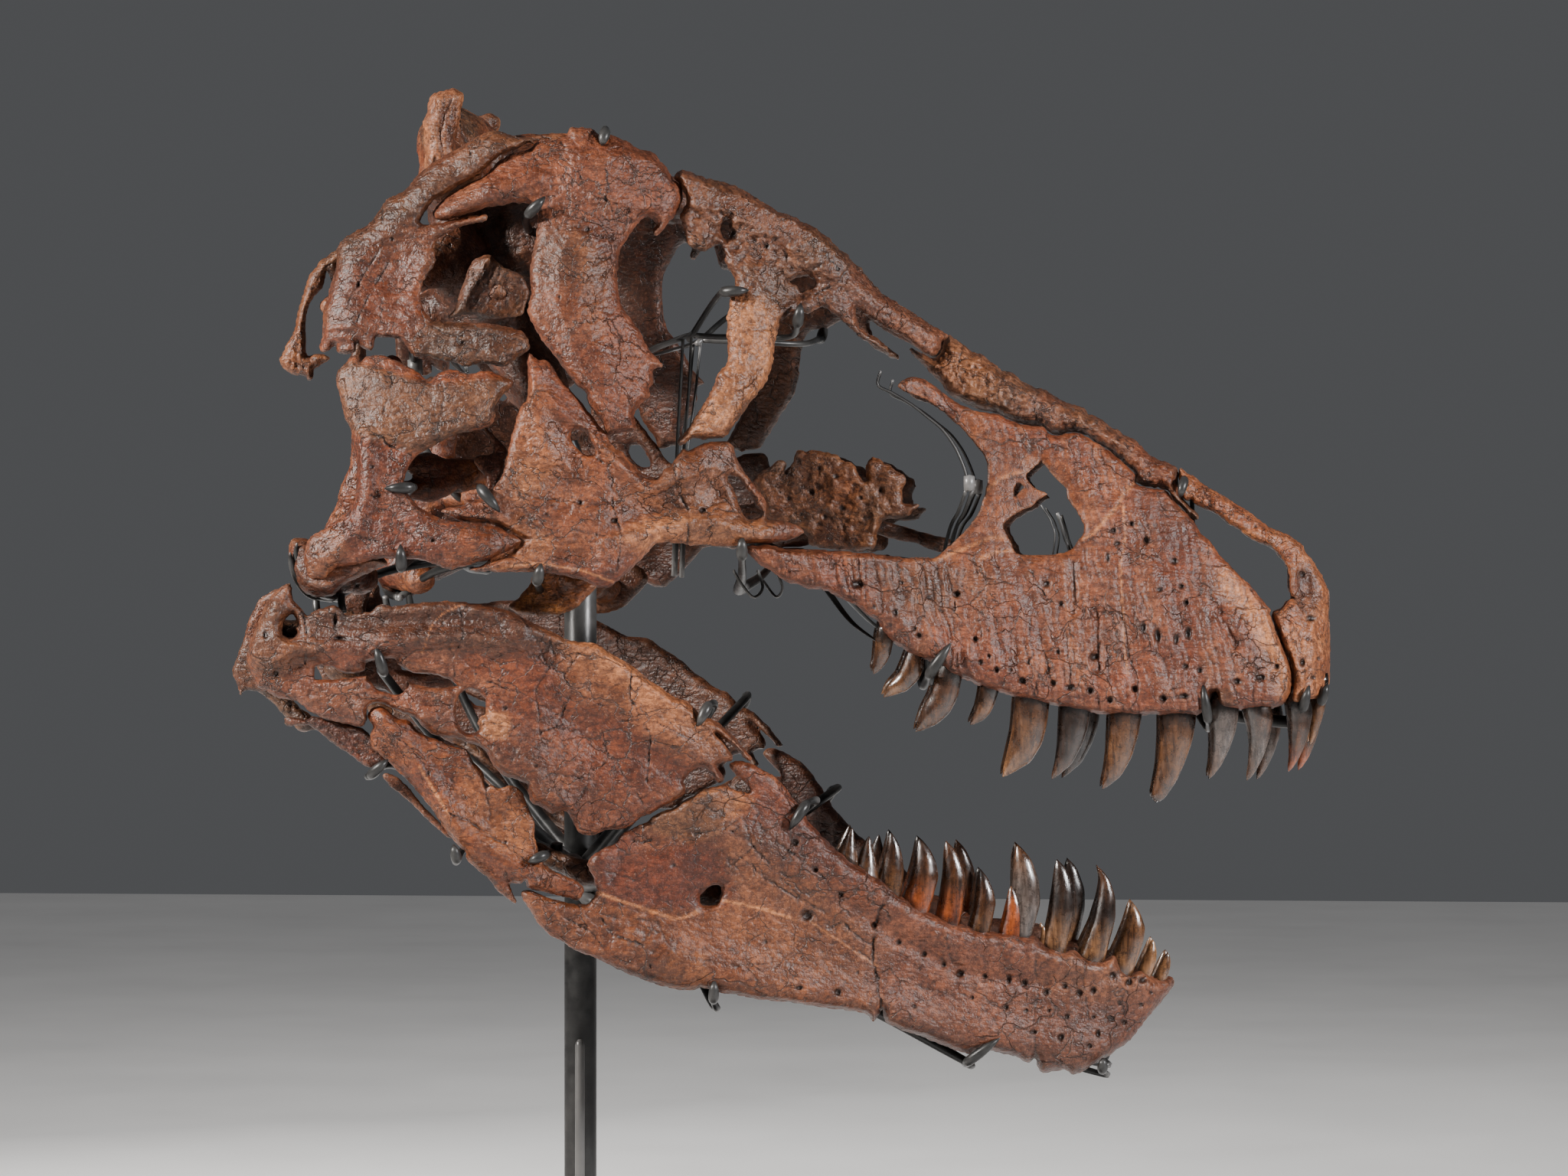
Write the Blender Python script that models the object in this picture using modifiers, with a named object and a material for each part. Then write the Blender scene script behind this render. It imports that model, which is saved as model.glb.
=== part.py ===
"""Skull of an adult Tyrannosaurus rex on its museum stand, life size, jaws open.

Metres, +Z up. +X is the way the snout points and -Y is the animal's right side.
The origin is on the floor, in the middle of the underside of the base plate.
Each bone that lies in the side of the head is drawn in a side elevation in perspective,
in millimetres of that drawing: u to the right, v down. lift() carries a drawn point to the
depth at which the bone lies, and the left bones are mirror images of the right ones.
"""

import math

import bmesh
import bpy
import numpy as np

# The side elevation: its centre in the drawing, its eye distance, turn and aim point.
CENTRE = (1024.0, 768.0)
EYE_DISTANCE = 6.0
DRAWING_SCALE = 6000.0
TURN = math.radians(5.0)
AIM = (0.301, -0.25, 1.369)

# The closed plates are crowned: their rims lie this much inside their faces.
CROWN = 0.006
TOOTH_SIDES = 4
# Left and right bones that meet in the midline stay this far from it.
MIDLINE_GAP = 0.0015

# Half widths of the head along u: at the lower edge of the cheek and jaws, and at the roof.
STATIONS = (300, 400, 500, 640, 790, 940, 1090, 1240, 1390, 1540, 1640, 1690, 1715, 1730, 1738)
CHEEK_HALF = (0.340, 0.350, 0.370, 0.365, 0.330, 0.275, 0.215, 0.175, 0.148, 0.122, 0.105, 0.090, 0.070, 0.045, 0.018)
ROOF_HALF = (0.250, 0.260, 0.260, 0.255, 0.235, 0.185, 0.150, 0.062, 0.052, 0.044, 0.038, 0.034, 0.030, 0.024, 0.014)
CHEEK_V = (757, 757, 745, 745, 765, 712, 780, 880, 925, 935, 926, 920, 912, 905, 900)
ROOF_V = (330, 330, 260, 180, 180, 230, 300, 437, 520, 615, 675, 705, 730, 760, 800)
JAW_STATIONS = (300, 400, 500, 600, 700, 800, 900, 1000, 1100, 1200, 1300, 1400, 1450, 1500, 1525, 1536)
JAW_HALF = (0.335, 0.342, 0.345, 0.340, 0.325, 0.300, 0.272, 0.240, 0.205, 0.172, 0.142, 0.112, 0.092, 0.062, 0.036, 0.016)

# The stand.
BASE = (1.00, 0.70, 0.012)
BASE_X = 0.09
POST_RADIUS = 0.022
POST_TOP_V = 640
GUIDE_ROD_RADIUS = 0.0068
GUIDE_ROD_TOP_Z = 0.757
CLIP_RADIUS = 0.005
CLIP_CLEAR = 0.012
ARM_RADIUS = 0.009


def lift(u, v, y):
    """The point of the model at depth y that the drawing shows at (u, v)."""
    k = (u - CENTRE[0]) / DRAWING_SCALE
    depth = y - AIM[1]
    cos, sin = math.cos(TURN), math.sin(TURN)
    x = (k * EYE_DISTANCE + depth * (k * cos - sin)) / (cos + k * sin)
    away = EYE_DISTANCE - sin * x + cos * depth
    return (AIM[0] + x, y, AIM[2] + (CENTRE[1] - v) / DRAWING_SCALE * away)


def head_half(u, v):
    """Half the width of the head at a drawn point, wide at the cheek and narrow at the roof."""
    low, high = np.interp(u, STATIONS, CHEEK_V), np.interp(u, STATIONS, ROOF_V)
    rise = min(max((low - v) / (low - high), 0.0), 1.0)
    cheek, roof = np.interp(u, STATIONS, CHEEK_HALF), np.interp(u, STATIONS, ROOF_HALF)
    return float(cheek + (roof - cheek) * rise ** 1.6)


def jaw_half(u, v):
    """Half the width of the lower jaw at a drawn point."""
    return float(np.interp(u, JAW_STATIONS, JAW_HALF)) - 0.00005 * max(v - 900 - 0.35 * (u - 500), 0.0)


def new_collection(name, cutters=False):
    made = bpy.data.collections.new(name)
    bpy.context.scene.collection.children.link(made)
    made.hide_render = cutters
    return made


def clear_scene():
    for obj in list(bpy.data.objects):
        bpy.data.objects.remove(obj)
    for group in list(bpy.data.collections):
        bpy.data.collections.remove(group)


def material(name, colour, roughness, metallic=0.0):
    made = bpy.data.materials.new(name)
    made.use_nodes = True
    shader = made.node_tree.nodes["Principled BSDF"]
    shader.inputs["Base Color"].default_value = (*colour, 1.0)
    shader.inputs["Roughness"].default_value = roughness
    shader.inputs["Metallic"].default_value = metallic
    made.diffuse_color = (*colour, 1.0)
    return made


def evaluated_mesh(obj, name):
    graph = bpy.context.evaluated_depsgraph_get()
    mesh = bpy.data.meshes.new_from_object(obj.evaluated_get(graph))
    mesh.name = name
    return mesh


def as_helper(obj):
    helpers.objects.link(obj)
    obj.hide_render = True
    obj.display_type = "WIRE"
    return obj


def tidy_mesh(mesh):
    work = bmesh.new()
    work.from_mesh(mesh)
    bmesh.ops.remove_doubles(work, verts=work.verts, dist=0.00002)
    bmesh.ops.recalc_face_normals(work, faces=work.faces)
    work.to_mesh(mesh)
    work.free()
    return mesh


def filled_outline(name, loops):
    """A plate one unit thick over the drawn loops, of which all but the first are holes."""
    curve = bpy.data.curves.new(name, "CURVE")
    curve.dimensions = "2D"
    curve.fill_mode = "BOTH"
    curve.extrude = 0.5
    for loop in loops:
        spline = curve.splines.new("POLY")
        spline.points.add(len(loop) - 1)
        for point, (u, v) in zip(spline.points, loop):
            point.co = (u / 1000.0, v / 1000.0, 0.0, 1.0)
        spline.use_cyclic_u = True
    drawn = as_helper(bpy.data.objects.new(name + "_outline", curve))
    mesh = evaluated_mesh(drawn, name)
    bpy.data.objects.remove(drawn)
    return mesh


def plate(name, loops, half, thick, cell=0.24):
    """A bent bone plate. half(u, v) gives how far out it lies and thick(u, v) how thick it is."""
    mesh = filled_outline(name, loops)
    work = bmesh.new()
    work.from_mesh(mesh)
    bmesh.ops.remove_doubles(work, verts=work.verts, dist=0.00002)
    for axis in (0, 1):
        spots = [vert.co[axis] for vert in work.verts]
        for step in range(math.floor(min(spots) / cell) + 1, math.ceil(max(spots) / cell)):
            normal = (1.0, 0.0, 0.0) if axis == 0 else (0.0, 1.0, 0.0)
            at = (step * cell, 0.0, 0.0) if axis == 0 else (0.0, step * cell, 0.0)
            geometry = work.verts[:] + work.edges[:] + work.faces[:]
            bmesh.ops.bisect_plane(work, geom=geometry, plane_co=at, plane_no=normal, dist=0.0004)
    caps = [face for face in work.faces if abs(face.normal.z) > 0.5]
    bmesh.ops.triangulate(work, faces=caps)
    caps = [face for face in work.faces if abs(face.normal.z) > 0.5]
    flat = set(caps)
    inner_edges = [edge for edge in work.edges if flat.issuperset(edge.link_faces)]
    bmesh.ops.beautify_fill(work, faces=caps, edges=inner_edges)
    work.normal_update()
    rim = {vert for face in work.faces if abs(face.normal.z) < 0.5 for vert in face.verts}
    for vert in work.verts:
        u, v, side = vert.co.x * 1000.0, vert.co.y * 1000.0, vert.co.z
        deep = thick(u, v)
        inset = min(CROWN, 0.3 * deep) if vert in rim else 0.0
        y = -half(u, v) + (inset if side < 0 else deep - inset)
        vert.co = lift(u, v, min(y, -MIDLINE_GAP if side > 0 else -MIDLINE_GAP - 0.004))
    work.to_mesh(mesh)
    work.free()
    return tidy_mesh(mesh)


def tube(name, path, sides=1):
    """A round bar through points (x, y, z, radius), closed at its ends."""
    curve = bpy.data.curves.new(name, "CURVE")
    curve.dimensions = "3D"
    curve.bevel_depth = 1.0
    curve.bevel_resolution = sides
    curve.use_fill_caps = True
    spline = curve.splines.new("POLY")
    spline.points.add(len(path) - 1)
    for point, (x, y, z, radius) in zip(spline.points, path):
        point.co = (x, y, z, 1.0)
        point.radius = radius
    drawn = as_helper(bpy.data.objects.new(name + "_path", curve))
    mesh = evaluated_mesh(drawn, name)
    bpy.data.objects.remove(drawn)
    return tidy_mesh(mesh)


def drawn_tube(name, path, sides=1):
    """A bar through points (u, v, y, radius) of the drawing."""
    return tube(name, [(*lift(u, v, y), radius) for u, v, y, radius in path], sides)


def ellipsoid(name, centre, radii, segments=12):
    mesh = bpy.data.meshes.new(name)
    work = bmesh.new()
    bmesh.ops.create_uvsphere(work, u_segments=segments, v_segments=segments // 2, radius=1.0)
    bmesh.ops.scale(work, verts=work.verts, vec=radii)
    bmesh.ops.translate(work, verts=work.verts, vec=centre)
    work.to_mesh(mesh)
    work.free()
    return mesh


def joined(name, meshes, mirrored=False):
    """One mesh that holds all of these, and their mirror images too if mirrored."""
    work = bmesh.new()
    for mesh in meshes:
        work.from_mesh(mesh)
    if mirrored:
        old = work.verts[:] + work.edges[:] + work.faces[:]
        made = bmesh.ops.duplicate(work, geom=old)["geom"]
        verts = [item for item in made if isinstance(item, bmesh.types.BMVert)]
        faces = [item for item in made if isinstance(item, bmesh.types.BMFace)]
        for vert in verts:
            vert.co.y = -vert.co.y
        bmesh.ops.reverse_faces(work, faces=faces)
    mesh = bpy.data.meshes.new(name)
    work.to_mesh(mesh)
    work.free()
    return mesh


def grown_together(name, meshes, voxel, keep, mirrored=False):
    """One closed organic body from bodies that run into each other."""
    rough = as_helper(bpy.data.objects.new(name + "_rough", joined(name, meshes, mirrored)))
    remesh = rough.modifiers.new("remesh", "REMESH")
    remesh.mode = "VOXEL"
    remesh.voxel_size = voxel
    smooth = rough.modifiers.new("smooth", "SMOOTH")
    smooth.iterations = 3
    fewer = rough.modifiers.new("fewer", "DECIMATE")
    fewer.ratio = keep
    mesh = evaluated_mesh(rough, name)
    bpy.data.objects.remove(rough)
    return mesh


def united(name, mesh, others):
    """mesh with the bodies in others added to it by a Boolean."""
    body = as_helper(bpy.data.objects.new(name + "_body", mesh))
    group = bpy.data.collections.new(name + "_added")
    helpers.children.link(group)
    made = []
    for number, other in enumerate(others):
        added = bpy.data.objects.new(f"{name}_added_{number}", other)
        added.hide_render = True
        group.objects.link(added)
        made.append(added)
    union = body.modifiers.new("union", "BOOLEAN")
    union.operation = "UNION"
    union.solver = "EXACT"
    union.operand_type = "COLLECTION"
    union.collection = group
    bpy.context.view_layer.update()
    result = evaluated_mesh(body, name)
    for obj in [*made, body]:
        bpy.data.objects.remove(obj)
    bpy.data.collections.remove(group)
    return tidy_mesh(result)


def tooth(name, root, tip, y, length, width, lean=0.0):
    """A curved conical tooth. root and tip are drawn points; length and width are its root's."""
    start = np.array(lift(*root, y))
    end = np.array(lift(*tip, y + lean))
    axis = (end - start) / np.linalg.norm(end - start)
    along = np.cross(axis, (0.0, 1.0, 0.0))
    along /= np.linalg.norm(along)
    across = np.cross(along, axis)
    bow = 0.10 * np.linalg.norm(end - start) * (along if along[0] > 0 else -along)
    work = bmesh.new()
    rings = []
    for part, size in ((0.0, 1.0), (0.6, 0.72)):
        middle = start + (end - start) * part + bow * 4 * part * (1 - part)
        ring = []
        for corner in range(TOOTH_SIDES):
            turn = 2 * math.pi / TOOTH_SIDES * corner
            spot = middle + size * (length / 2 * math.cos(turn) * along + width / 2 * math.sin(turn) * across)
            ring.append(work.verts.new(spot))
        rings.append(ring)
    point = work.verts.new(end)
    for low, high in zip(rings, rings[1:]):
        for a in range(TOOTH_SIDES):
            b = (a + 1) % TOOTH_SIDES
            work.faces.new((low[a], low[b], high[b], high[a]))
    for a in range(TOOTH_SIDES):
        work.faces.new((rings[-1][a], rings[-1][(a + 1) % TOOTH_SIDES], point))
    work.faces.new(reversed(rings[0]))
    mesh = bpy.data.meshes.new(name)
    work.to_mesh(mesh)
    work.free()
    return tidy_mesh(mesh)


def show(name, mesh, paint):
    mesh.materials.clear()
    mesh.materials.append(paint)
    obj = bpy.data.objects.new(name, mesh)
    model.objects.link(obj)
    return obj


def show_pair(name, mesh, paint):
    """The right bone, and the left one as its mirror image."""
    show(name + "_right", mesh, paint)
    left = show(name + "_left", joined(name + "_left", [mesh]), paint)
    left.scale.y = -1.0


clear_scene()
model = new_collection("Tyrannosaurus_skull_mount")
helpers = new_collection("Helpers", cutters=True)

BONE = material("bone", (0.42, 0.27, 0.19), 0.72)
STEEL = material("stand_steel", (0.03, 0.03, 0.032), 0.42, 0.0)

# The upper jaw. Each tooth: root and tip in the drawing, root length and width.
MAXILLA = [
    (980, 715), (1010, 713), (1075, 719), (1140, 724), (1223, 729), (1253, 701), (1275, 675), (1285, 652),
    (1290, 627), (1287, 601), (1266, 571), (1240, 545), (1190, 510), (1188, 493), (1210, 497), (1240, 519),
    (1271, 536), (1300, 541), (1361, 559), (1405, 567), (1450, 592), (1481, 621), (1504, 640), (1536, 659),
    (1561, 680), (1611, 742), (1658, 793), (1667, 827), (1683, 864), (1686, 884), (1682, 915), (1661, 924),
    (1610, 926), (1565, 933), (1495, 933), (1438, 932), (1384, 922), (1327, 910), (1280, 895), (1231, 869),
    (1191, 854), (1153, 824), (1125, 796), (1080, 772), (1025, 758), (992, 737),
]
MAXILLA_WINDOW = [
    (1322, 716), (1310, 687), (1336, 666), (1366, 647), (1346, 632), (1342, 618), (1362, 604), (1392, 638),
    (1414, 685), (1408, 706), (1384, 723), (1331, 724),
]
MAXILLA_TEETH = (
    ((1160, 815), (1141, 879), 0.018, 0.014),
    ((1196, 845), (1153, 911), 0.026, 0.017),
    ((1240, 868), (1194, 955), 0.033, 0.020),
    ((1292, 888), (1268, 945), 0.022, 0.016),
    ((1347, 903), (1308, 1014), 0.042, 0.026),
    ((1403, 914), (1373, 1016), 0.040, 0.026),
    ((1469, 922), (1439, 1030), 0.041, 0.027),
    ((1536, 922), (1507, 1052), 0.046, 0.029),
    ((1596, 914), (1580, 1017), 0.038, 0.027),
    ((1641, 912), (1630, 1019), 0.038, 0.027),
)
PREMAXILLA = [
    (1540, 618), (1590, 644), (1640, 676), (1682, 699), (1700, 711), (1713, 729), (1725, 751), (1733, 772),
    (1737, 840), (1737, 875), (1735, 895), (1726, 908), (1708, 914), (1696, 920), (1688, 916), (1690, 884),
    (1686, 862), (1671, 826), (1663, 803), (1683, 788), (1692, 779), (1686, 746), (1678, 731), (1662, 718),
    (1604, 688), (1582, 668), (1550, 652), (1541, 640),
]
PREMAXILLA_TEETH = (
    ((1701, 906), (1683, 1007), 0.026, 0.022),
    ((1722, 898), (1712, 975), 0.018, 0.018),
)
NASAL = [
    (1243, 440), (1298, 477), (1350, 507), (1411, 537), (1446, 560), (1512, 599), (1538, 616), (1539, 640),
    (1547, 652), (1560, 671), (1553, 672), (1536, 656), (1503, 637), (1483, 618), (1450, 589), (1405, 564),
    (1361, 556), (1302, 538), (1276, 534), (1254, 519), (1224, 485), (1196, 459), (1221, 469), (1233, 459),
]
LACRIMAL = [
    (897, 225), (945, 238), (985, 257), (1045, 290), (1080, 310), (1112, 340), (1140, 373), (1170, 394),
    (1205, 417), (1238, 441), (1231, 457), (1219, 466), (1193, 453), (1150, 425), (1122, 406), (1124, 428),
    (1158, 452), (1157, 459), (1120, 437), (1078, 404), (1025, 416), (1013, 445), (1008, 479), (986, 518),
    (955, 558), (940, 570), (893, 575), (918, 530), (932, 505), (951, 465), (950, 425), (960, 370),
    (945, 331), (920, 328), (901, 319), (889, 284), (898, 262),
]
POSTORBITAL = [
    (700, 189), (744, 170), (790, 184), (840, 197), (874, 225), (891, 250), (893, 264), (884, 280),
    (857, 308), (848, 284), (828, 298), (808, 330), (806, 365), (812, 400), (844, 450), (864, 478),
    (848, 517), (828, 545), (812, 566), (790, 564), (764, 515), (714, 455), (692, 415), (692, 355),
    (702, 300), (699, 276), (640, 272), (578, 287), (582, 260), (640, 228), (665, 205),
]
SQUAMOSAL = [
    (694, 187), (665, 177), (628, 178), (575, 208), (548, 228), (515, 257), (492, 282), (445, 317),
    (436, 360), (422, 410), (418, 454), (440, 450), (463, 458), (488, 447), (525, 446), (550, 467),
    (612, 481), (660, 479), (690, 456), (682, 435), (640, 424), (567, 421), (549, 395), (552, 370),
    (568, 340), (566, 320), (600, 297), (632, 288), (600, 284), (575, 290), (560, 290), (578, 258),
    (636, 224), (661, 201),
]
JUGAL = [
    (693, 464), (712, 472), (733, 499), (770, 542), (803, 585), (830, 611), (856, 624), (880, 600),
    (897, 586), (946, 573), (962, 598), (1000, 655), (1008, 680), (1048, 694), (1025, 706), (985, 711),
    (903, 713), (858, 712), (830, 738), (794, 767), (732, 751), (625, 746), (655, 729), (697, 707),
    (684, 688), (645, 682), (577, 668), (608, 655), (650, 632), (662, 605), (676, 545), (691, 515),
]
JUGAL_HOLE = [(745, 567), (760, 562), (772, 575), (776, 592), (760, 591)]
JUGAL_SLOT = [(951, 624), (968, 629), (994, 670), (975, 677), (960, 645)]
QUADRATOJUGAL = [
    (464, 463), (500, 463), (550, 489), (562, 496), (578, 484), (636, 482), (668, 497), (668, 505),
    (646, 533), (640, 556), (600, 567), (552, 591), (532, 612), (530, 636), (545, 659), (600, 681),
    (680, 706), (645, 728), (600, 740), (530, 731), (445, 741), (412, 757), (400, 742), (404, 704),
    (445, 675), (465, 645), (464, 590), (443, 512), (441, 488),
]
SURANGULAR = [
    (376, 764), (381, 775), (400, 803), (430, 793), (448, 800), (500, 791), (586, 787), (640, 793),
    (715, 823), (778, 841), (826, 870), (880, 908), (931, 941), (981, 990), (960, 985), (948, 995),
    (935, 1003), (943, 1020), (930, 1015), (900, 1012), (893, 1037), (860, 1057), (820, 1078), (775, 1089),
    (752, 1080), (738, 1058), (695, 1052), (687, 1026), (655, 1012), (640, 1000), (600, 972), (598, 950),
    (634, 960), (650, 945), (636, 925), (632, 908), (616, 899), (600, 899), (552, 878), (500, 860),
    (470, 874), (430, 868), (411, 874), (416, 888), (478, 882), (516, 907), (533, 892), (590, 896),
    (597, 912), (595, 945), (578, 962), (548, 950), (520, 932), (484, 921), (470, 949), (430, 940),
    (398, 923), (348, 901), (337, 896), (324, 862), (330, 830), (348, 789), (362, 771),
]
SURANGULAR_HOLE = [(382, 803), (370, 812), (369, 826), (380, 833), (388, 822)]
ANGULAR = [
    (488, 924), (518, 936), (546, 954), (575, 966), (604, 975), (632, 1010), (635, 1028), (655, 1030),
    (680, 1028), (690, 1055), (697, 1090), (700, 1124), (762, 1156), (752, 1176), (700, 1162), (672, 1152),
    (672, 1178), (640, 1150), (608, 1118), (586, 1088), (530, 1018), (486, 976), (483, 940),
]
DENTARY = [
    (958, 992), (975, 993), (1008, 1012), (1044, 1056), (1080, 1100), (1128, 1136), (1172, 1167), (1212, 1191),
    (1256, 1209), (1312, 1219), (1358, 1228), (1400, 1242), (1442, 1254), (1486, 1270), (1533, 1278), (1532, 1288),
    (1496, 1332), (1474, 1360), (1448, 1379), (1402, 1402), (1358, 1393), (1290, 1374), (1200, 1351), (1154, 1332),
    (1142, 1326), (1092, 1318), (1006, 1305), (904, 1293), (860, 1286), (792, 1258), (720, 1222), (692, 1190),
    (680, 1165), (698, 1164), (740, 1177), (767, 1180), (779, 1165), (768, 1124), (800, 1104), (824, 1081),
    (865, 1060), (900, 1042), (946, 1025), (972, 1035), (976, 1024),
]
DENTARY_HOLE = [(938, 1156), (922, 1162), (914, 1175), (930, 1183), (940, 1172)]
DENTARY_TEETH = (
    ((1100, 1135), (1112, 1082), 0.021, 0.014),
    ((1132, 1155), (1135, 1094), 0.026, 0.016),
    ((1158, 1175), (1164, 1087), 0.027, 0.018),
    ((1194, 1195), (1201, 1096), 0.030, 0.020),
    ((1238, 1212), (1236, 1100), 0.030, 0.022),
    ((1278, 1226), (1279, 1138), 0.027, 0.020),
    ((1327, 1236), (1330, 1103), 0.034, 0.022),
    ((1377, 1248), (1382, 1123), 0.030, 0.022),
    ((1424, 1262), (1438, 1134), 0.033, 0.023),
    ((1462, 1275), (1478, 1179), 0.030, 0.022),
    ((1488, 1284), (1505, 1228), 0.022, 0.017),
    ((1513, 1288), (1525, 1246), 0.018, 0.014),
)
PALATINE = [
    (987, 630), (1020, 604), (1062, 589), (1110, 606), (1136, 628), (1142, 600), (1165, 609), (1181, 632),
    (1182, 657), (1199, 662), (1178, 676), (1150, 682), (1139, 706), (1060, 707), (1020, 668),
]


def cheek_thick(u, v):
    """Side plates are thick at the roof, where they turn inwards, and thin below it."""
    return 0.026 + 0.055 * max(0.0, 1.0 - (v - float(np.interp(u, STATIONS, ROOF_V))) / 75.0)


def tooth_bearing(u, v):
    """Upper jaw bones thicken towards the tooth row and stay off the midline."""
    low = float(np.interp(u, STATIONS, CHEEK_V))
    return 0.020 + 0.024 * min(max(1.0 - (low - v) / 130.0, 0.0), 1.0)


def tooth_set(name, rows, half, inward, lean):
    """The row's teeth as bodies, each in the middle of the bone's thickness."""
    made = []
    for number, (root, tip, length, width) in enumerate(rows):
        y = min(-half(*root) + inward, -0.014)
        made.append(tooth(f"{name}_tooth_{number}", root, tip, y, length, width, lean))
    return made


maxilla_mesh = plate("maxilla", [MAXILLA, MAXILLA_WINDOW], head_half, tooth_bearing)
maxilla_mesh = united("maxilla", maxilla_mesh, tooth_set("maxilla", MAXILLA_TEETH, head_half, 0.022, 0.006))
show_pair("maxilla", maxilla_mesh, BONE)
premaxilla_mesh = plate("premaxilla", [PREMAXILLA], head_half, lambda u, v: 0.034, 0.06)
premaxilla_mesh = united("premaxilla", premaxilla_mesh, tooth_set("premaxilla", PREMAXILLA_TEETH, head_half, 0.018, 0.004))
show_pair("premaxilla", premaxilla_mesh, BONE)
show_pair("nasal", plate("nasal", [NASAL], lambda u, v: float(np.interp(v - 437 - 0.55 * (u - 1240), (-20, 20, 80), (0.030, 0.055, 0.066))), lambda u, v: 0.06), BONE)
show_pair("lacrimal", plate("lacrimal", [LACRIMAL], head_half, cheek_thick), BONE)
show_pair("postorbital", plate("postorbital", [POSTORBITAL], head_half, cheek_thick), BONE)
show_pair("squamosal", plate("squamosal", [SQUAMOSAL], head_half, cheek_thick), BONE)
show_pair("jugal", plate("jugal", [JUGAL, JUGAL_HOLE, JUGAL_SLOT], head_half, lambda u, v: 0.022), BONE)
show_pair("quadratojugal", plate("quadratojugal", [QUADRATOJUGAL], head_half, lambda u, v: 0.020), BONE)
show_pair("surangular", plate("surangular", [SURANGULAR, SURANGULAR_HOLE], jaw_half, lambda u, v: 0.024), BONE)
show_pair("angular", plate("angular", [ANGULAR], jaw_half, lambda u, v: 0.018), BONE)
dentary_mesh = plate("dentary", [DENTARY, DENTARY_HOLE], jaw_half, lambda u, v: 0.030 + 0.012 * min(max((u - 1050) / 200, 0), 1))
dentary_mesh = united("dentary", dentary_mesh, tooth_set("dentary", DENTARY_TEETH, jaw_half, 0.020, 0.004))
show_pair("dentary", dentary_mesh, BONE)
show_pair("palatine", plate("palatine", [PALATINE], lambda u, v: 0.125, lambda u, v: 0.022), BONE)

# The inner bones of the head, grown together from bars and ellipsoids.
quadrate = [
    drawn_tube("shaft", [(512, 478, -0.262, 0.017), (482, 560, -0.292, 0.018), (470, 640, -0.292, 0.020), (430, 735, -0.276, 0.026)]),
    drawn_tube("condyle", [(402, 746, -0.292, 0.024), (440, 748, -0.264, 0.025), (472, 752, -0.234, 0.024)]),
    drawn_tube("flange", [(480, 590, -0.285, 0.014), (560, 610, -0.240, 0.013), (640, 610, -0.195, 0.012)]),
    drawn_tube("flange_low", [(475, 640, -0.285, 0.014), (560, 640, -0.240, 0.012), (640, 625, -0.195, 0.011)]),
]
show_pair("quadrate", grown_together("quadrate", quadrate, 0.010, 0.07), BONE)
pterygoid = [
    drawn_tube("wing", [(660, 610, -0.165, 0.014), (720, 640, -0.130, 0.018), (800, 690, -0.100, 0.020), (880, 690, -0.075, 0.016)]),
    drawn_tube("ramus", [(880, 690, -0.075, 0.016), (1000, 668, -0.052, 0.013), (1120, 680, -0.040, 0.011), (1260, 720, -0.024, 0.008)]),
]
show_pair("pterygoid", grown_together("pterygoid", pterygoid, 0.008, 0.05), BONE)
ectopterygoid = [
    drawn_tube("hook", [(752, 780, -0.285, 0.013), (716, 792, -0.255, 0.017), (712, 778, -0.205, 0.021), (748, 760, -0.165, 0.018)]),
]
show_pair("ectopterygoid", grown_together("ectopterygoid", ectopterygoid, 0.008, 0.10), BONE)
braincase = [
    ellipsoid("case", lift(716, 320, 0.0), (0.100, 0.062, 0.070)),
    ellipsoid("frontals", lift(812, 250, 0.0), (0.120, 0.150, 0.028)),
    ellipsoid("crest", lift(705, 232, 0.0), (0.130, 0.034, 0.060)),
    drawn_tube("nuchal", [(580, 168, -0.118, 0.026), (590, 185, -0.060, 0.040), (606, 198, 0.0, 0.044)]),
    drawn_tube("nuchal_lobe", [(590, 205, -0.110, 0.026), (576, 205, -0.160, 0.019), (573, 170, -0.163, 0.018), (580, 140, -0.163, 0.022)]),
    drawn_tube("nuchal_low", [(578, 240, -0.090, 0.034), (606, 260, 0.0, 0.046)]),
    ellipsoid("occiput", lift(606, 320, 0.0), (0.036, 0.104, 0.100)),
    drawn_tube("wing", [(596, 330, -0.070, 0.034), (500, 375, -0.170, 0.022), (420, 425, -0.228, 0.020), (392, 470, -0.240, 0.018)]),
    ellipsoid("condyle", lift(560, 415, 0.0), (0.036, 0.036, 0.034)),
    drawn_tube("base", [(640, 410, 0.0, 0.050), (700, 500, 0.0, 0.034), (740, 560, 0.0, 0.022)]),
    drawn_tube("basipterygoid", [(690, 490, -0.020, 0.026), (724, 570, -0.062, 0.022)]),
    drawn_tube("side_wall", [(640, 375, -0.060, 0.030), (652, 376, -0.125, 0.020)]),
]
show("braincase", grown_together("braincase", braincase, 0.012, 0.050, mirrored=True), BONE)
vomer = [
    drawn_tube("vomer_bar", [(1275, 735, 0.0, 0.010), (1400, 790, 0.0, 0.009), (1530, 862, 0.0, 0.010)]),
    ellipsoid("vomer_blade", lift(1560, 872, 0.0), (0.085, 0.026, 0.009)),
]
show("vomer", grown_together("vomer", vomer, 0.007, 0.06), BONE)

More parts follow.
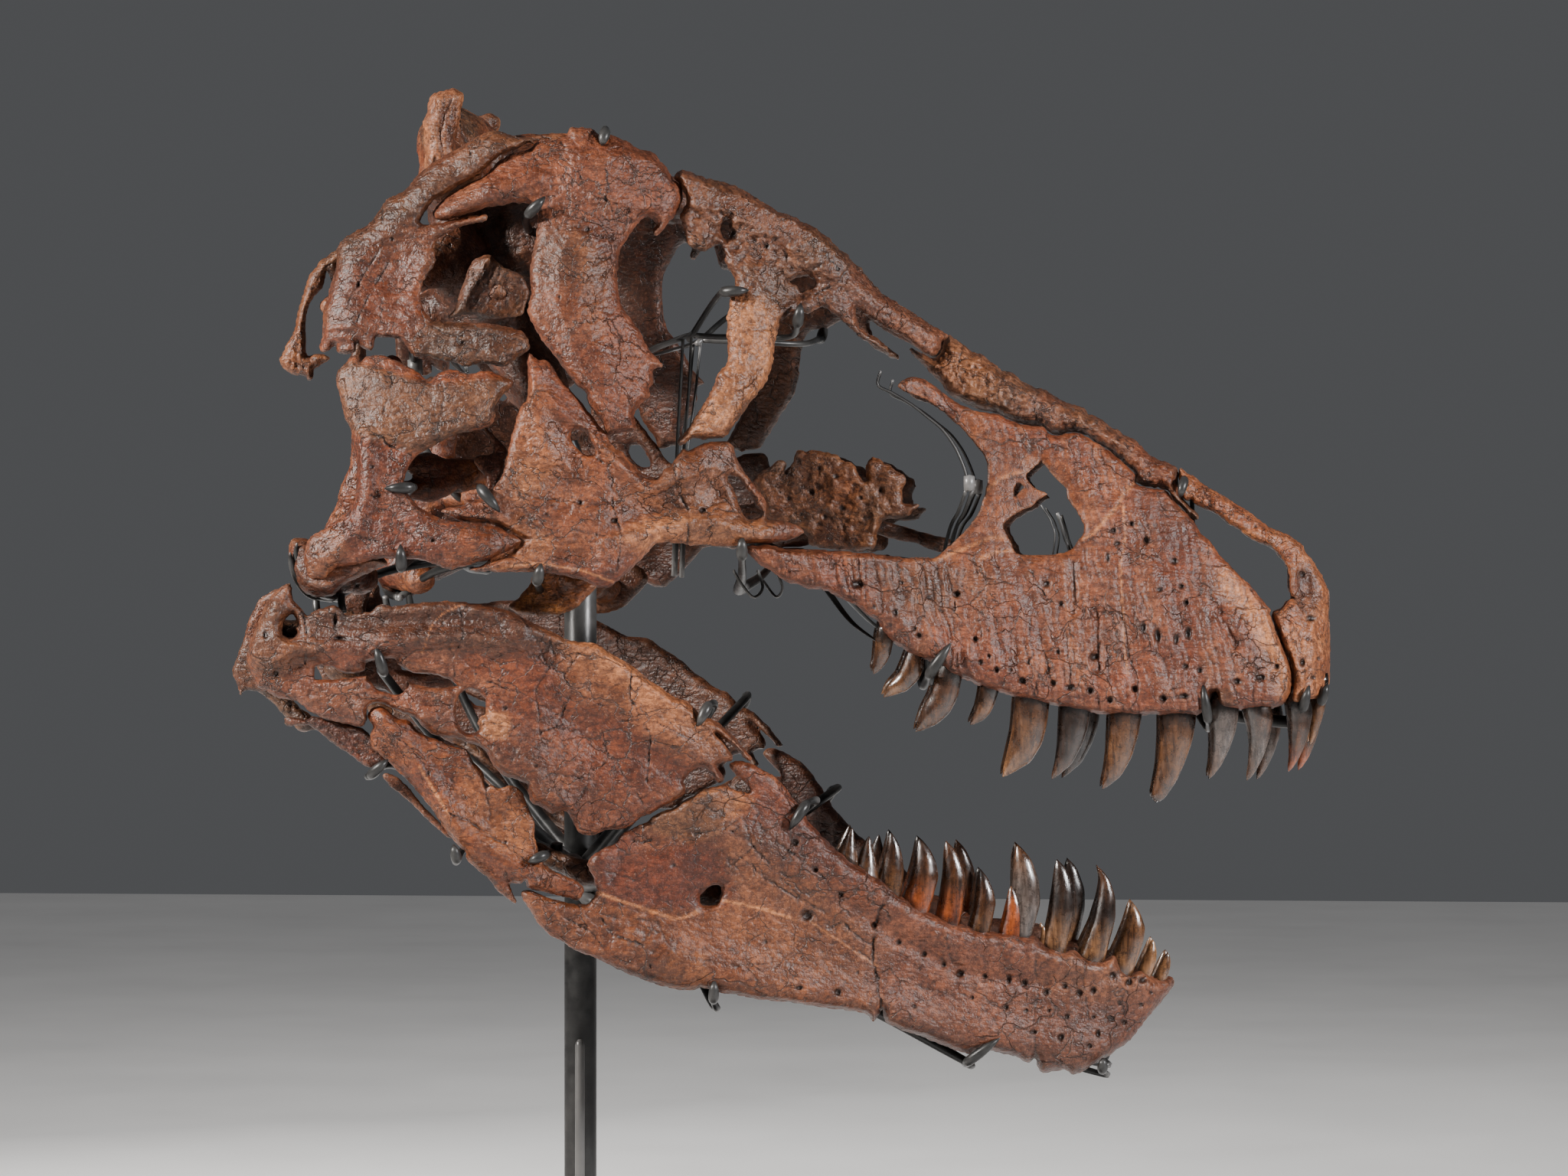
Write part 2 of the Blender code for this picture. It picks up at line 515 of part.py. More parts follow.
# The inner side of each lower jaw: the strip along its foot and the joint block at its rear.
prearticular = [
    drawn_tube("strip", [(395, 945, -0.283, 0.010), (470, 985, -0.284, 0.013), (600, 1060, -0.268, 0.014), (760, 1130, -0.238, 0.016), (900, 1160, -0.200, 0.018), (1060, 1205, -0.155, 0.016), (1200, 1265, -0.105, 0.012)]),
    drawn_tube("rear", [(395, 945, -0.283, 0.010), (335, 880, -0.282, 0.014), (345, 812, -0.280, 0.015)]),
    drawn_tube("joint", [(350, 830, -0.280, 0.022), (400, 838, -0.279, 0.026), (470, 826, -0.279, 0.022)]),
]
show_pair("prearticular", grown_together("prearticular", prearticular, 0.009, 0.045), BONE)

# The stand: base plate, post, guide rod, and one armature with its arms and clips.
base_mesh = bpy.data.meshes.new("stand_base")
work = bmesh.new()
bmesh.ops.create_cube(work, size=1.0)
bmesh.ops.scale(work, verts=work.verts, vec=BASE)
bmesh.ops.translate(work, verts=work.verts, vec=(BASE_X, 0.0, BASE[2] / 2))
work.to_mesh(base_mesh)
work.free()
base = show("stand_base", base_mesh, STEEL)
bevel = base.modifiers.new("bevel", "BEVEL")
bevel.width = 0.004
bevel.segments = 2


def clip(name, u, v, half, sign, reach, spine):
    """A hook that comes off the spine, passes the bone's edge and turns up its outer face."""
    outer = half(u, v) + CLIP_CLEAR
    inner = half(u, v) - 0.085
    under = sign * 17.0
    points = [
        (*spine, ARM_RADIUS * 0.8),
        (*lift(u, v + under, -inner), CLIP_RADIUS + 0.001),
        (*lift(u, v + under, -outer + 0.008), CLIP_RADIUS),
        (*lift(u, v + under * 0.4, -outer), CLIP_RADIUS),
        (*lift(u, v - sign * reach, -outer + 0.001), CLIP_RADIUS * 0.55),
    ]
    return tube(name, points, 0)


HEAD_SPINE = ((752, 640, 0.0), (800, 688, 0.0), (940, 692, 0.0), (1050, 740, 0.0), (1200, 800, 0.0), (1390, 866, 0.0), (1600, 915, 0.0))
spine_line = np.array([lift(u, v, y) for u, v, y in HEAD_SPINE])


def on_spine(x):
    return (x, 0.0, float(np.interp(x, spine_line[:, 0], spine_line[:, 2])))


HEAD_CLIPS = ((702, 750, 12), (968, 713, 10), (1209, 862, 20), (1572, 933, 34))
armature_parts = [drawn_tube("spine", [(u, v, y, ARM_RADIUS) for u, v, y in HEAD_SPINE])]
for number, (u, v, reach) in enumerate(HEAD_CLIPS):
    where = lift(u, v, -0.12)
    armature_parts.append(clip(f"head_clip_{number}", u, v, head_half, 1, reach, on_spine(max(where[0], 0.004))))
jaw_joint = lift(758, 1135, 0.0)
for number, (u, v, reach, sign) in enumerate(((596, 1104, 12, 1), (932, 1296, 16, 1), (1290, 1374, 18, 1))):
    hook = [
        (*jaw_joint, ARM_RADIUS),
        (*lift(758 + 0.45 * (u - 758), 1180 if u > 700 else 1110, -0.10), ARM_RADIUS * 0.9),
        (*lift(u, v + 20, -jaw_half(u, v) + 0.055), CLIP_RADIUS + 0.001),
        (*lift(u, v + 18, -jaw_half(u, v) - 0.004), CLIP_RADIUS),
        (*lift(u, v + 6, -jaw_half(u, v) - CLIP_CLEAR), CLIP_RADIUS),
        (*lift(u, v - reach, -jaw_half(u, v) - CLIP_CLEAR + 0.001), CLIP_RADIUS * 0.55),
    ]
    armature_parts.append(tube(f"jaw_clip_{number}", hook, 0))
both_sides = []
for part in armature_parts[1:]:
    both_sides.append(part)
    turned = joined(part.name + "_left", [part])
    for vert in turned.vertices:
        vert.co.y = -vert.co.y
    turned.flip_normals()
    both_sides.append(turned)
foot = BASE[2] + 0.0003
post_top = lift(758, POST_TOP_V, 0.0)[2]
post_mesh = tube("stand_armature", [(0.0, 0.0, foot, POST_RADIUS), (0.0, 0.0, post_top, POST_RADIUS)], 3)
collar = tube("collar", [(0.0, 0.0, foot, 0.042), (0.0, 0.0, foot + 0.014, 0.042), (0.0, 0.0, foot + 0.034, 0.028)], 3)
show("stand_armature", united("stand_armature", post_mesh, [collar, armature_parts[0], *both_sides]), STEEL)
guide = (0.006, -0.052)
show("stand_guide_rod", tube("stand_guide_rod", [(*guide, foot, GUIDE_ROD_RADIUS), (*guide, GUIDE_ROD_TOP_Z - 0.004, GUIDE_ROD_RADIUS), (*guide, GUIDE_ROD_TOP_Z, GUIDE_ROD_RADIUS * 0.6)], 1), STEEL)
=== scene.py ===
"""Life-size Tyrannosaurus rex skull on its museum stand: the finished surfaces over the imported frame.

The bones of the side of the head are drawn in a side view, and the Bone class gives them depth. The inner
bones grow out of bars and balls, and the stand is made of swept rods. The left side mirrors the right one.
"""
import math

import bpy
import numpy as np
import openvdb as vdb
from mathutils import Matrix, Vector


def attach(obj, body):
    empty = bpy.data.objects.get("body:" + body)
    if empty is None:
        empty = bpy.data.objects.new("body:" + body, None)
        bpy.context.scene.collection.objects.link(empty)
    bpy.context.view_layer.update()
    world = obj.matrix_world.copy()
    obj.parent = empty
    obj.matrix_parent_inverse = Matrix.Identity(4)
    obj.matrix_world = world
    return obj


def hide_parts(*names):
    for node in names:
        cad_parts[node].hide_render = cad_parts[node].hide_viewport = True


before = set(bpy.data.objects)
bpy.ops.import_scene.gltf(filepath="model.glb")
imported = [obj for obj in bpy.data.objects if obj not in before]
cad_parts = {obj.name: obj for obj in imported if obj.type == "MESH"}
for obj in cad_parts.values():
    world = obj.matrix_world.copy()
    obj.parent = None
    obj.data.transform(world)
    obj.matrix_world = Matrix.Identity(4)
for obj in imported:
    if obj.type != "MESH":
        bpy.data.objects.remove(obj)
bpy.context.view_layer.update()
MM = 1000.0

# ---------------------------------------------------------------- the drawing and the model
# The drawing is a side view of the animal's right, with u to the right and v downwards. One unit of it is
# about 1 mm at the cheek. Depth y is in metres, 0 at the midline and negative towards the viewer.
DRAWING_WIDTH = 2048.0
CENTRE = (1024.0, 768.0)
EYE_DISTANCE = 6.0
DRAWING_SCALE = 6000.0
TURN = math.radians(5.0)
AIM = (0.301, -0.25, 1.369)
COS, SIN = math.cos(TURN), math.sin(TURN)

# Half of the head's width at stations along u, on the line of the cheek and on that of the roof above it.
STATIONS = (300, 400, 500, 640, 790, 940, 1090, 1240, 1390, 1540, 1640, 1690, 1715, 1730, 1738)
CHEEK_HALF = (0.340, 0.350, 0.370, 0.365, 0.330, 0.275, 0.215, 0.175, 0.148, 0.122, 0.105, 0.090, 0.070,
              0.045, 0.018)
ROOF_HALF = (0.250, 0.260, 0.260, 0.255, 0.235, 0.185, 0.150, 0.062, 0.052, 0.044, 0.038, 0.034, 0.030, 0.024,
             0.014)
CHEEK_V = (757, 757, 745, 745, 765, 712, 780, 880, 925, 935, 926, 920, 912, 905, 900)
ROOF_V = (330, 330, 260, 180, 180, 230, 300, 437, 520, 615, 675, 705, 730, 760, 800)
# Half of the lower jaw's width.
JAW_STATIONS = (300, 400, 500, 600, 700, 800, 900, 1000, 1100, 1200, 1300, 1400, 1450, 1500, 1525, 1536)
JAW_HALF = (0.335, 0.342, 0.345, 0.340, 0.325, 0.300, 0.272, 0.240, 0.205, 0.172, 0.142, 0.112, 0.092, 0.062,
            0.036, 0.016)


def lift(u, v, y):
    """World points at depth y that the drawing shows at (u, v). Takes numbers or arrays."""
    k = (u - CENTRE[0]) / DRAWING_SCALE
    depth = y - AIM[1]
    x = (k * EYE_DISTANCE + depth * (k * COS - SIN)) / (COS + k * SIN)
    away = EYE_DISTANCE - SIN * x + COS * depth
    return AIM[0] + x, y, AIM[2] + (CENTRE[1] - v) / DRAWING_SCALE * away


def drawn(u, v, y):
    """One world point of the drawing."""
    return np.array([float(n) for n in lift(u, v, y)])


def lifted(path):
    """A path of the drawing, (u, v, y, radius), as one of the world, (x, y, z, radius)."""
    return [(*drawn(u, v, y), radius) for u, v, y, radius in path]


def head_half(u, v):
    """Half of the head's width, narrowing from the cheek to the roof."""
    low, high = np.interp(u, STATIONS, CHEEK_V), np.interp(u, STATIONS, ROOF_V)
    rise = np.clip((low - v) / (low - high), 0.0, 1.0)
    cheek, roof = np.interp(u, STATIONS, CHEEK_HALF), np.interp(u, STATIONS, ROOF_HALF)
    return cheek + (roof - cheek) * rise ** 1.6


def jaw_half(u, v):
    """Half of the lower jaw's width, which draws in a little towards its lower edge."""
    return np.interp(u, JAW_STATIONS, JAW_HALF) - 0.00005 * np.maximum(v - 900 - 0.35 * (u - 500), 0.0)


def level(value, u, v):
    """The value at (u, v). It may be a number or a function of them."""
    return value(u, v) if callable(value) else value


def trail(text):
    """Points of the drawing written as 'u,v u,v ...'."""
    return [tuple(float(n) for n in pair.split(",")) for pair in text.split()]


# ---------------------------------------------------------------- noise
FLAT_CELLS = 256
SOLID_CELLS = 48
NOISE_GAIN = 1.5


def fade(t):
    """The blend of one noise cell into the next."""
    return t * t * t * (t * (t * 6 - 15) + 10)


def noise(a, b, seed):
    """Smooth gradient noise over two coordinates, about -1 to 1."""
    rng = np.random.default_rng(seed)
    turn = rng.uniform(0, 2 * math.pi, (FLAT_CELLS, FLAT_CELLS)).astype(np.float32)
    grads = (np.cos(turn), np.sin(turn))
    ia, ib = np.floor(a).astype(int), np.floor(b).astype(int)
    fa, fb = a - ia, b - ib
    wa, wb = fade(fa), fade(fb)
    total = 0.0
    for da in (0, 1):
        for db in (0, 1):
            at = ((ia + da) % FLAT_CELLS, (ib + db) % FLAT_CELLS)
            dot = grads[0][at] * (fa - da) + grads[1][at] * (fb - db)
            total = total + dot * (wa if da else 1 - wa) * (wb if db else 1 - wb)
    return total * NOISE_GAIN


def solid_noise(a, b, c, seed):
    """Smooth gradient noise over three coordinates, about -1 to 1."""
    rng = np.random.default_rng(seed)
    grads = rng.normal(size=(SOLID_CELLS, SOLID_CELLS, SOLID_CELLS, 3)).astype(np.float32)
    grads /= np.linalg.norm(grads, axis=-1, keepdims=True)
    cells = [np.floor(t).astype(int) for t in (a, b, c)]
    f = [t - i for t, i in zip((a, b, c), cells)]
    w = [fade(t) for t in f]
    total = 0.0
    for corner in range(8):
        d = (corner & 1, corner >> 1 & 1, corner >> 2)
        g = grads[tuple((i + o) % SOLID_CELLS for i, o in zip(cells, d))]
        dot = sum(g[..., n] * (f[n] - d[n]) for n in range(3))
        for n in range(3):
            dot = dot * (w[n] if d[n] else 1 - w[n])
        total = total + dot
    return total * NOISE_GAIN


def grain(u, v, seed, size, octaves=3, angle=0.0, stretch=1.0, ridged=False):
    """Layered noise over the drawing. size is the width of its marks in mm, drawn out along angle."""
    c, s = math.cos(math.radians(angle)), math.sin(math.radians(angle))
    along, across = (u * c + v * s) / (size * stretch), (v * c - u * s) / size
    total, weight, power = 0.0, 0.0, 1.0
    for octave in range(octaves):
        layer = noise(along + 37.7 * octave, across + 11.3 * octave, seed + octave)
        total = total + power * (1 - 2.4 * np.abs(layer) if ridged else layer)
        weight += power
        power *= 0.55
        along, across = along * 2.03, across * 2.03
    return total / weight


def solid_grain(p, seed, size, octaves=3):
    """Layered noise through space, at the points p. size is the width of its marks in their unit."""
    total, power = 0.0, 1.0
    q = p / size
    for octave in range(octaves):
        total = total + power * solid_noise(q[:, 0] + 9.1 * octave, q[:, 1], q[:, 2], seed + octave)
        power *= 0.5
        q = q * 2.02
    return total / 1.6


# ---------------------------------------------------------------- curves and distances
def spline(a, b, c, d, t):
    """The point at t between b and c on the Catmull-Rom curve through a, b, c and d."""
    return 0.5 * (
        2 * b + (c - a) * t + (2 * a - 5 * b + 4 * c - d) * t * t + (3 * b - a - 3 * c + d) * t ** 3)


def rounded(loop, steps=5):
    """A closed outline that runs smoothly through the points."""
    p = np.array(loop, float)
    before, after, later = np.roll(p, 1, 0), np.roll(p, -1, 0), np.roll(p, -2, 0)
    return np.stack([spline(before, p, after, later, t) for t in np.arange(steps) / steps], 1).reshape(-1, 2)


def segment_distance(u, v, a, b):
    """Distance to the straight line from a to b."""
    d = (b[0] - a[0], b[1] - a[1])
    length = max(d[0] * d[0] + d[1] * d[1], 1e-9)
    t = np.clip(((u - a[0]) * d[0] + (v - a[1]) * d[1]) / length, 0.0, 1.0)
    return np.hypot(u - a[0] - t * d[0], v - a[1] - t * d[1])


def line_distance(u, v, points):
    """Distance to an open line through the points."""
    near = np.full(np.shape(u), 1e9, np.float32)
    for a, b in zip(points, points[1:]):
        near = np.minimum(near, segment_distance(u, v, a, b))
    return near


def inside_distance(u, v, loop):
    """Distance to a closed loop, negative inside it."""
    near = np.full(np.shape(u), 1e9, np.float32)
    odd = np.zeros(np.shape(u), bool)
    for a, b in zip(loop, np.roll(loop, -1, 0)):
        near = np.minimum(near, segment_distance(u, v, a, b))
        if a[1] != b[1]:
            crosses = (a[1] > v) != (b[1] > v)
            odd ^= crosses & (u < (b[0] - a[0]) * (v - a[1]) / (b[1] - a[1]) + a[0])
    return np.where(odd, -near, near)


def soft(distance, width):
    """1 inside a shape, falling to 0 over the width around its edge."""
    return np.clip(0.5 - distance / width, 0.0, 1.0)


def patch(u, v, text, width):
    """A soft mask of the shape that the text outlines."""
    return soft(inside_distance(u, v, trail(text)), width)


def smooth_min(a, b, k):
    """The smaller of two distances, blended where they differ by less than k."""
    h = np.clip(0.5 + 0.5 * (b - a) / k, 0.0, 1.0)
    return b + (a - b) * h - k * h * (1 - h)


def lump(u, v, u0, v0, ru, rv, high, angle=0.0):
    """A rounded swelling about (u0, v0)."""
    c, s = math.cos(math.radians(angle)), math.sin(math.radians(angle))
    a, b = (u - u0) * c + (v - v0) * s, (v - v0) * c - (u - u0) * s
    return high * np.exp(-((a / ru) ** 2) - (b / rv) ** 2)


def ridge(u, v, text, width, high):
    """A rounded ridge along the line that the text gives."""
    return high * np.exp(-((line_distance(u, v, trail(text)) / width) ** 2))


# ---------------------------------------------------------------- colours
def srgb(r, g, b):
    """A colour of 0-255 as linear light."""
    return tuple(((c / 255 + 0.055) / 1.055) ** 2.4 if c > 10 else c / 255 / 12.92 for c in (r, g, b))


TERRACOTTA = srgb(104, 57, 32)
RUST = srgb(84, 42, 24)
MAUVE = srgb(100, 65, 48)
CREAM = srgb(156, 112, 78)
OCHRE = srgb(110, 68, 38)
DRAB = srgb(80, 58, 40)
UMBER = srgb(62, 36, 22)
# DARK is painted shade for hollows, pits and cracks.
DARK = srgb(16, 9, 6)
FILLER = srgb(132, 92, 68)
YELLOW = srgb(150, 106, 58)


def mixed(base, over, amount):
    """The base colours, with each point's amount of the colour over them."""
    return base + (np.array(over) - base) * np.asarray(amount)[..., None]


def blended(one, other, amount):
    """One colour going over to the other by each point's amount."""
    return mixed(np.tile(np.array(one), (len(amount), 1)), other, amount)


# ---------------------------------------------------------------- meshes
def mesh_piece(name, verts, faces, nodes, slot, matter, paint=None, relief=None, smooth=True):
    """A mesh object with its colours and relief masks, riding on the frame in place of its nodes."""
    mesh = bpy.data.meshes.new(name)
    mesh.vertices.add(len(verts))
    mesh.vertices.foreach_set("co", np.ascontiguousarray(verts, np.float32).ravel())
    faces = np.ascontiguousarray(faces, np.int32)
    count, size = faces.shape
    mesh.loops.add(count * size)
    mesh.loops.foreach_set("vertex_index", faces.ravel())
    mesh.polygons.add(count)
    mesh.polygons.foreach_set("loop_start", np.arange(0, count * size, size, dtype=np.int32))
    mesh.update(calc_edges=True)
    mesh.polygons.foreach_set("use_smooth", np.full(count, smooth))
    for label, values in (("paint", paint), ("relief", relief)):
        if values is None:
            continue
        layer = mesh.color_attributes.new(label, "FLOAT_COLOR", "POINT")
        flat = np.ones((len(verts), 4), np.float32)
        flat[:, :3] = np.clip(values, 0.0, 1.0)
        layer.data.foreach_set("color", flat.ravel())
    mesh.materials.append(matter)
    piece = bpy.data.objects.new(name, mesh)
    bpy.context.scene.collection.objects.link(piece)
    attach(piece, "root")
    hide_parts(*nodes)


def field_mesh(field, low, step):
    """The zero surface of a field on a grid that starts at low, as points and quads."""
    grid = vdb.FloatGrid(1e3)
    grid.copyFromArray(np.ascontiguousarray(field, np.float32), tolerance=0.0)
    points, quads = grid.convertToQuads(isovalue=0.0)
    return points * np.full(3, step) + np.array(low), quads


def vertex_normals(verts, quads):
    """Unit normals of the points of a quad mesh."""
    a, b, c, d = (verts[quads[:, n]] for n in range(4))
    face = np.cross(c - a, d - b)
    out = np.zeros_like(verts)
    for n in range(4):
        np.add.at(out, quads[:, n], face)
    return out / np.maximum(np.linalg.norm(out, axis=1, keepdims=True), 1e-12)


def outward(verts, faces):
    """The faces of a closed mesh, turned round if they point inwards."""
    first, *rest = (verts[faces[:, n]] for n in range(faces.shape[1]))
    volume = sum(np.einsum("ij,ij->", first, np.cross(b, c)) for b, c in zip(rest, rest[1:]))
    return faces[:, ::-1] if volume < 0 else faces


def mirror(verts, faces):
    """A mesh on the other side of the midline."""
    return verts * (1, -1, 1), faces[:, ::-1]


def gathered(parts):
    """Several meshes as one."""
    verts, faces, offset = [], [], 0
    for v, f in parts:
        verts.append(v)
        faces.append(f + offset)
        offset += len(v)
    return np.vstack(verts), np.vstack(faces)


def tube_faces(count, sides):
    """Triangles of a closed tube of count rings. The points that close its two ends come last."""
    n = np.arange(sides)
    m = (n + 1) % sides
    faces = []
    for low in range(0, (count - 1) * sides, sides):
        high = low + sides
        faces += [np.c_[low + n, low + m, high + m], np.c_[low + n, high + m, high + n]]
    last, start = (count - 1) * sides, count * sides
    faces += [np.c_[m, n, np.full(sides, start)], np.c_[last + n, last + m, np.full(sides, start + 1)]]
    return np.vstack(faces)


# ---------------------------------------------------------------- materials
def node(tree, kind, **values):
    """A shader node, with values for its inputs and its settings."""
    made = tree.nodes.new(kind)
    for key, value in values.items():
        if key in made.inputs:
            made.inputs[key].default_value = value
        else:
            setattr(made, key, value)
    return made


def new_matter(name):
    """A material, with its node tree, its shader and object coordinates."""
    made = bpy.data.materials.new(name)
    made.use_nodes = True
    tree = made.node_tree
    return made, tree, tree.nodes["Principled BSDF"], node(tree, "ShaderNodeTexCoord").outputs["Object"]


def maths(tree, operation, a, b=None):
    """A sum of sockets or numbers."""
    made = node(tree, "ShaderNodeMath", operation=operation)
    for number, value in enumerate((a, b)):
        if isinstance(value, (int, float)):
            made.inputs[number].default_value = value
        elif value is not None:
            tree.links.new(value, made.inputs[number])
    return made.outputs[0]


def tinted(tree, mode, factor, a, b):
    """A colour mix node. Each input is a socket or a constant."""
    made = node(tree, "ShaderNodeMix", data_type="RGBA", blend_type=mode)
    for socket, value in ((made.inputs[0], factor), (made.inputs[6], a), (made.inputs[7], b)):
        if isinstance(value, (int, float)):
            socket.default_value = value
        elif isinstance(value, tuple):
            socket.default_value = (*value, 1.0)
        else:
            tree.links.new(value, socket)
    return made.outputs[2]


def ramp(tree, value, low, high, to_low=0.0, to_high=1.0):
    """The value mapped from low..high to to_low..to_high, and held there."""
    made = node(tree, "ShaderNodeMapRange")
    for number, amount in enumerate((low, high, to_low, to_high)):
        made.inputs[number + 1].default_value = amount
    tree.links.new(value, made.inputs[0])
    return made.outputs[0]


def cloud(tree, coords, scale, detail=4.0, rough=0.6, stretch=None):
    """Cloudy noise. stretch is the scale and the rotation of its coordinates."""
    where = coords
    if stretch:
        mapping = node(tree, "ShaderNodeMapping", Scale=stretch[0], Rotation=stretch[1])
        tree.links.new(coords, mapping.inputs[0])
        where = mapping.outputs[0]
    made = node(tree, "ShaderNodeTexNoise", Scale=scale, Detail=detail, Roughness=rough)
    tree.links.new(where, made.inputs["Vector"])
    return made.outputs[0]


def warped(tree, coords, amount, **noise_values):
    """The coordinates shaken by noise."""
    return tinted(tree, "MIX", amount, coords, node(tree, "ShaderNodeTexNoise", **noise_values).outputs[1])


def web(tree, coords, scale, width):
    """Lines between the cells of a Voronoi pattern, as a mask."""
    made = node(tree, "ShaderNodeTexVoronoi", feature="DISTANCE_TO_EDGE", Scale=scale)
    tree.links.new(coords, made.inputs["Vector"])
    return ramp(tree, made.outputs[0], width, 0.0)


def pointed(tree, low, high):
    """A mask of sharp edges, or of hollows where low is above high: worn steel edges, painted highlight and
    shade on bone.
    """
    return ramp(tree, node(tree, "ShaderNodeNewGeometry").outputs["Pointiness"], low, high)


def creased(tree, coords, scale, stretch=None):
    """The distance from folds that wind through noise."""
    folded = cloud(tree, coords, scale, 1.5, 0.5, stretch)
    return maths(tree, "ABSOLUTE", maths(tree, "SUBTRACT", folded, 0.5))


def shaded(tree, colour, amount, mask, span, dark, light):
    """The colour multiplied by dark where the mask is below the span, and by light where it is above."""
    return tinted(tree, "MULTIPLY", amount, colour, tinted(tree, "MIX", ramp(tree, mask, *span), dark, light))


def covered(tree, colour, mask, amount, over):
    """The colour with an amount of another over it where the mask is 1."""
    return tinted(tree, "MIX", maths(tree, "MULTIPLY", mask, amount), colour, over)


def bumped(tree, height, distance, strength, normal=None):
    """A bump of the surface. strength is a socket or a number."""
    made = node(tree, "ShaderNodeBump", Distance=distance)
    if isinstance(strength, float):
        made.inputs["Strength"].default_value = strength
    else:
        tree.links.new(strength, made.inputs["Strength"])
    tree.links.new(height, made.inputs["Height"])
    if normal is not None:
        tree.links.new(normal, made.inputs["Normal"])
    return made.outputs[0]


def bone_matter(streak):
    """Mineralised bone. Its fibres run along streak, an angle in the side view and how drawn out they are."""
    made, tree, shader, coords = new_matter("fossil_bone")
    masks = node(tree, "ShaderNodeSeparateColor")
    relief = node(tree, "ShaderNodeAttribute", attribute_name="relief").outputs["Color"]
    tree.links.new(relief, masks.inputs[0])
    fill = masks.outputs["Green"]
    turned = (0.0, -math.radians(streak[0]), 0.0)
    fibres = ((1.0 / (1.0 + 0.5 * streak[1]), 1.0, 1.0), turned)
    furrows = ((1.0 / (1.0 + 0.9 * streak[1]), 1.0, 1.0), turned)
    tone = cloud(tree, coords, 9.0, 5.0, 0.6)
    broad = cloud(tree, coords, 26.0, 6.0, 0.65)
    fibre = cloud(tree, coords, 120.0, 5.0, 0.62, fibres)
    fine = cloud(tree, coords, 150.0, 5.0, 0.7)
    speck = cloud(tree, coords, 420.0, 3.0, 0.6)
    crease = creased(tree, coords, 105.0, furrows)
    pucker = creased(tree, coords, 185.0)

    colour = node(tree, "ShaderNodeAttribute", attribute_name="paint").outputs["Color"]
    for mask, span, amount, dark, light in (
            (tone, (0.38, 0.64), 0.80, (0.66, 0.60, 0.56), (1.22, 1.20, 1.18)),
            (broad, (0.35, 0.68), 0.75, (0.64, 0.57, 0.54), (1.24, 1.22, 1.20)),
            (fine, (0.40, 0.60), 0.80, (0.62, 0.56, 0.52), (1.30, 1.28, 1.26)),
            (fibre, (0.40, 0.58), 0.60, (0.62, 0.55, 0.50), (1.28, 1.26, 1.24))):
        colour = shaded(tree, colour, amount, mask, span, dark, light)
    colour = covered(tree, colour, ramp(tree, speck, 0.60, 0.68), 0.22, (0.42, 0.27, 0.18))
    # Painted highlight: the bone's sharp edges lightened.
    colour = covered(tree, colour, pointed(tree, 0.51, 0.58), 0.20, (0.40, 0.26, 0.18))
    # Painted shade: the bone's hollows darkened.
    colour = covered(tree, colour, pointed(tree, 0.50, 0.44), 0.62, (0.035, 0.016, 0.010))
    # Painted shade along the folds and puckers that the bump also cuts.
    colour = shaded(tree, colour, 0.6, crease, (0.0, 0.035), (0.42, 0.34, 0.28), (1.08, 1.08, 1.08))
    colour = shaded(tree, colour, 0.5, pucker, (0.0, 0.030), (0.50, 0.42, 0.36), (1.06, 1.06, 1.06))

    shaken = warped(tree, coords, 0.05, Scale=11.0, Detail=4.0)
    splits = []
    for scale, width, low in ((17.0, 0.026, 0.46), (38.0, 0.036, 0.52)):
        here = ramp(tree, cloud(tree, coords, scale * 0.45, 2.0, 0.5), low, low + 0.06)
        splits.append(maths(tree, "MULTIPLY", web(tree, shaken, scale, width), here))
    split = maths(tree, "MAXIMUM", *splits)
    colour = covered(tree, colour, split, 0.8, (0.022, 0.011, 0.007))

    deep = node(tree, "ShaderNodeGamma", Gamma=1.16)
    tree.links.new(colour, deep.inputs["Color"])
    tree.links.new(tinted(tree, "MULTIPLY", 1.0, deep.outputs[0], (1.34, 1.34, 1.34)),
        shader.inputs["Base Color"])
    tree.links.new(ramp(tree, broad, 0.3, 0.7, 0.36, 0.56), shader.inputs["Roughness"])
    shader.inputs["Specular IOR Level"].default_value = 0.42

    folds = maths(tree, "ADD", maths(tree, "MULTIPLY", crease, 1.5), maths(tree, "MULTIPLY", pucker, 0.7))
    folds = maths(tree, "SUBTRACT", folds, maths(tree, "MULTIPLY", split, 0.5))
    off_filler = maths(tree, "SUBTRACT", 1.0, maths(tree, "MULTIPLY", fill, 0.75))
    relief = bumped(tree, folds, 0.0028, maths(tree, "MULTIPLY", off_filler, 0.9))
    tree.links.new(bumped(tree, speck, 0.0013, 0.55, relief), shader.inputs["Normal"])
    return made


def tooth_matter():
    """Streaked and crackled enamel with a clear gloss."""
    made, tree, shader, coords = new_matter("tooth_enamel")
    streaks = cloud(tree, coords, 150.0, 5.0, 0.65, ((1.0, 1.0, 0.13), (0.0, 0.2, 0.0)))
    mottle = cloud(tree, coords, 60.0, 5.0, 0.7)
    crackle = web(tree, warped(tree, coords, 0.02, Scale=60.0), 52.0, 0.045)
    colour = node(tree, "ShaderNodeAttribute", attribute_name="paint").outputs["Color"]
    colour = shaded(tree, colour, 1.0, streaks, (0.38, 0.60), (0.40, 0.33, 0.28), (1.50, 1.46, 1.42))
    colour = shaded(tree, colour, 0.7, mottle, (0.35, 0.65), (0.66, 0.60, 0.56), (1.22, 1.20, 1.18))
    colour = covered(tree, colour, crackle, 0.85, (0.012, 0.008, 0.006))
    tree.links.new(tinted(tree, "MULTIPLY", 1.0, colour, (0.94, 0.88, 0.82)), shader.inputs["Base Color"])
    tree.links.new(ramp(tree, mottle, 0.3, 0.7, 0.17, 0.38), shader.inputs["Roughness"])
    shader.inputs["Coat Weight"].default_value = 0.6
    shader.inputs["Coat Roughness"].default_value = 0.16
    tree.links.new(bumped(tree, streaks, 0.0012, 0.7), shader.inputs["Normal"])
    return made


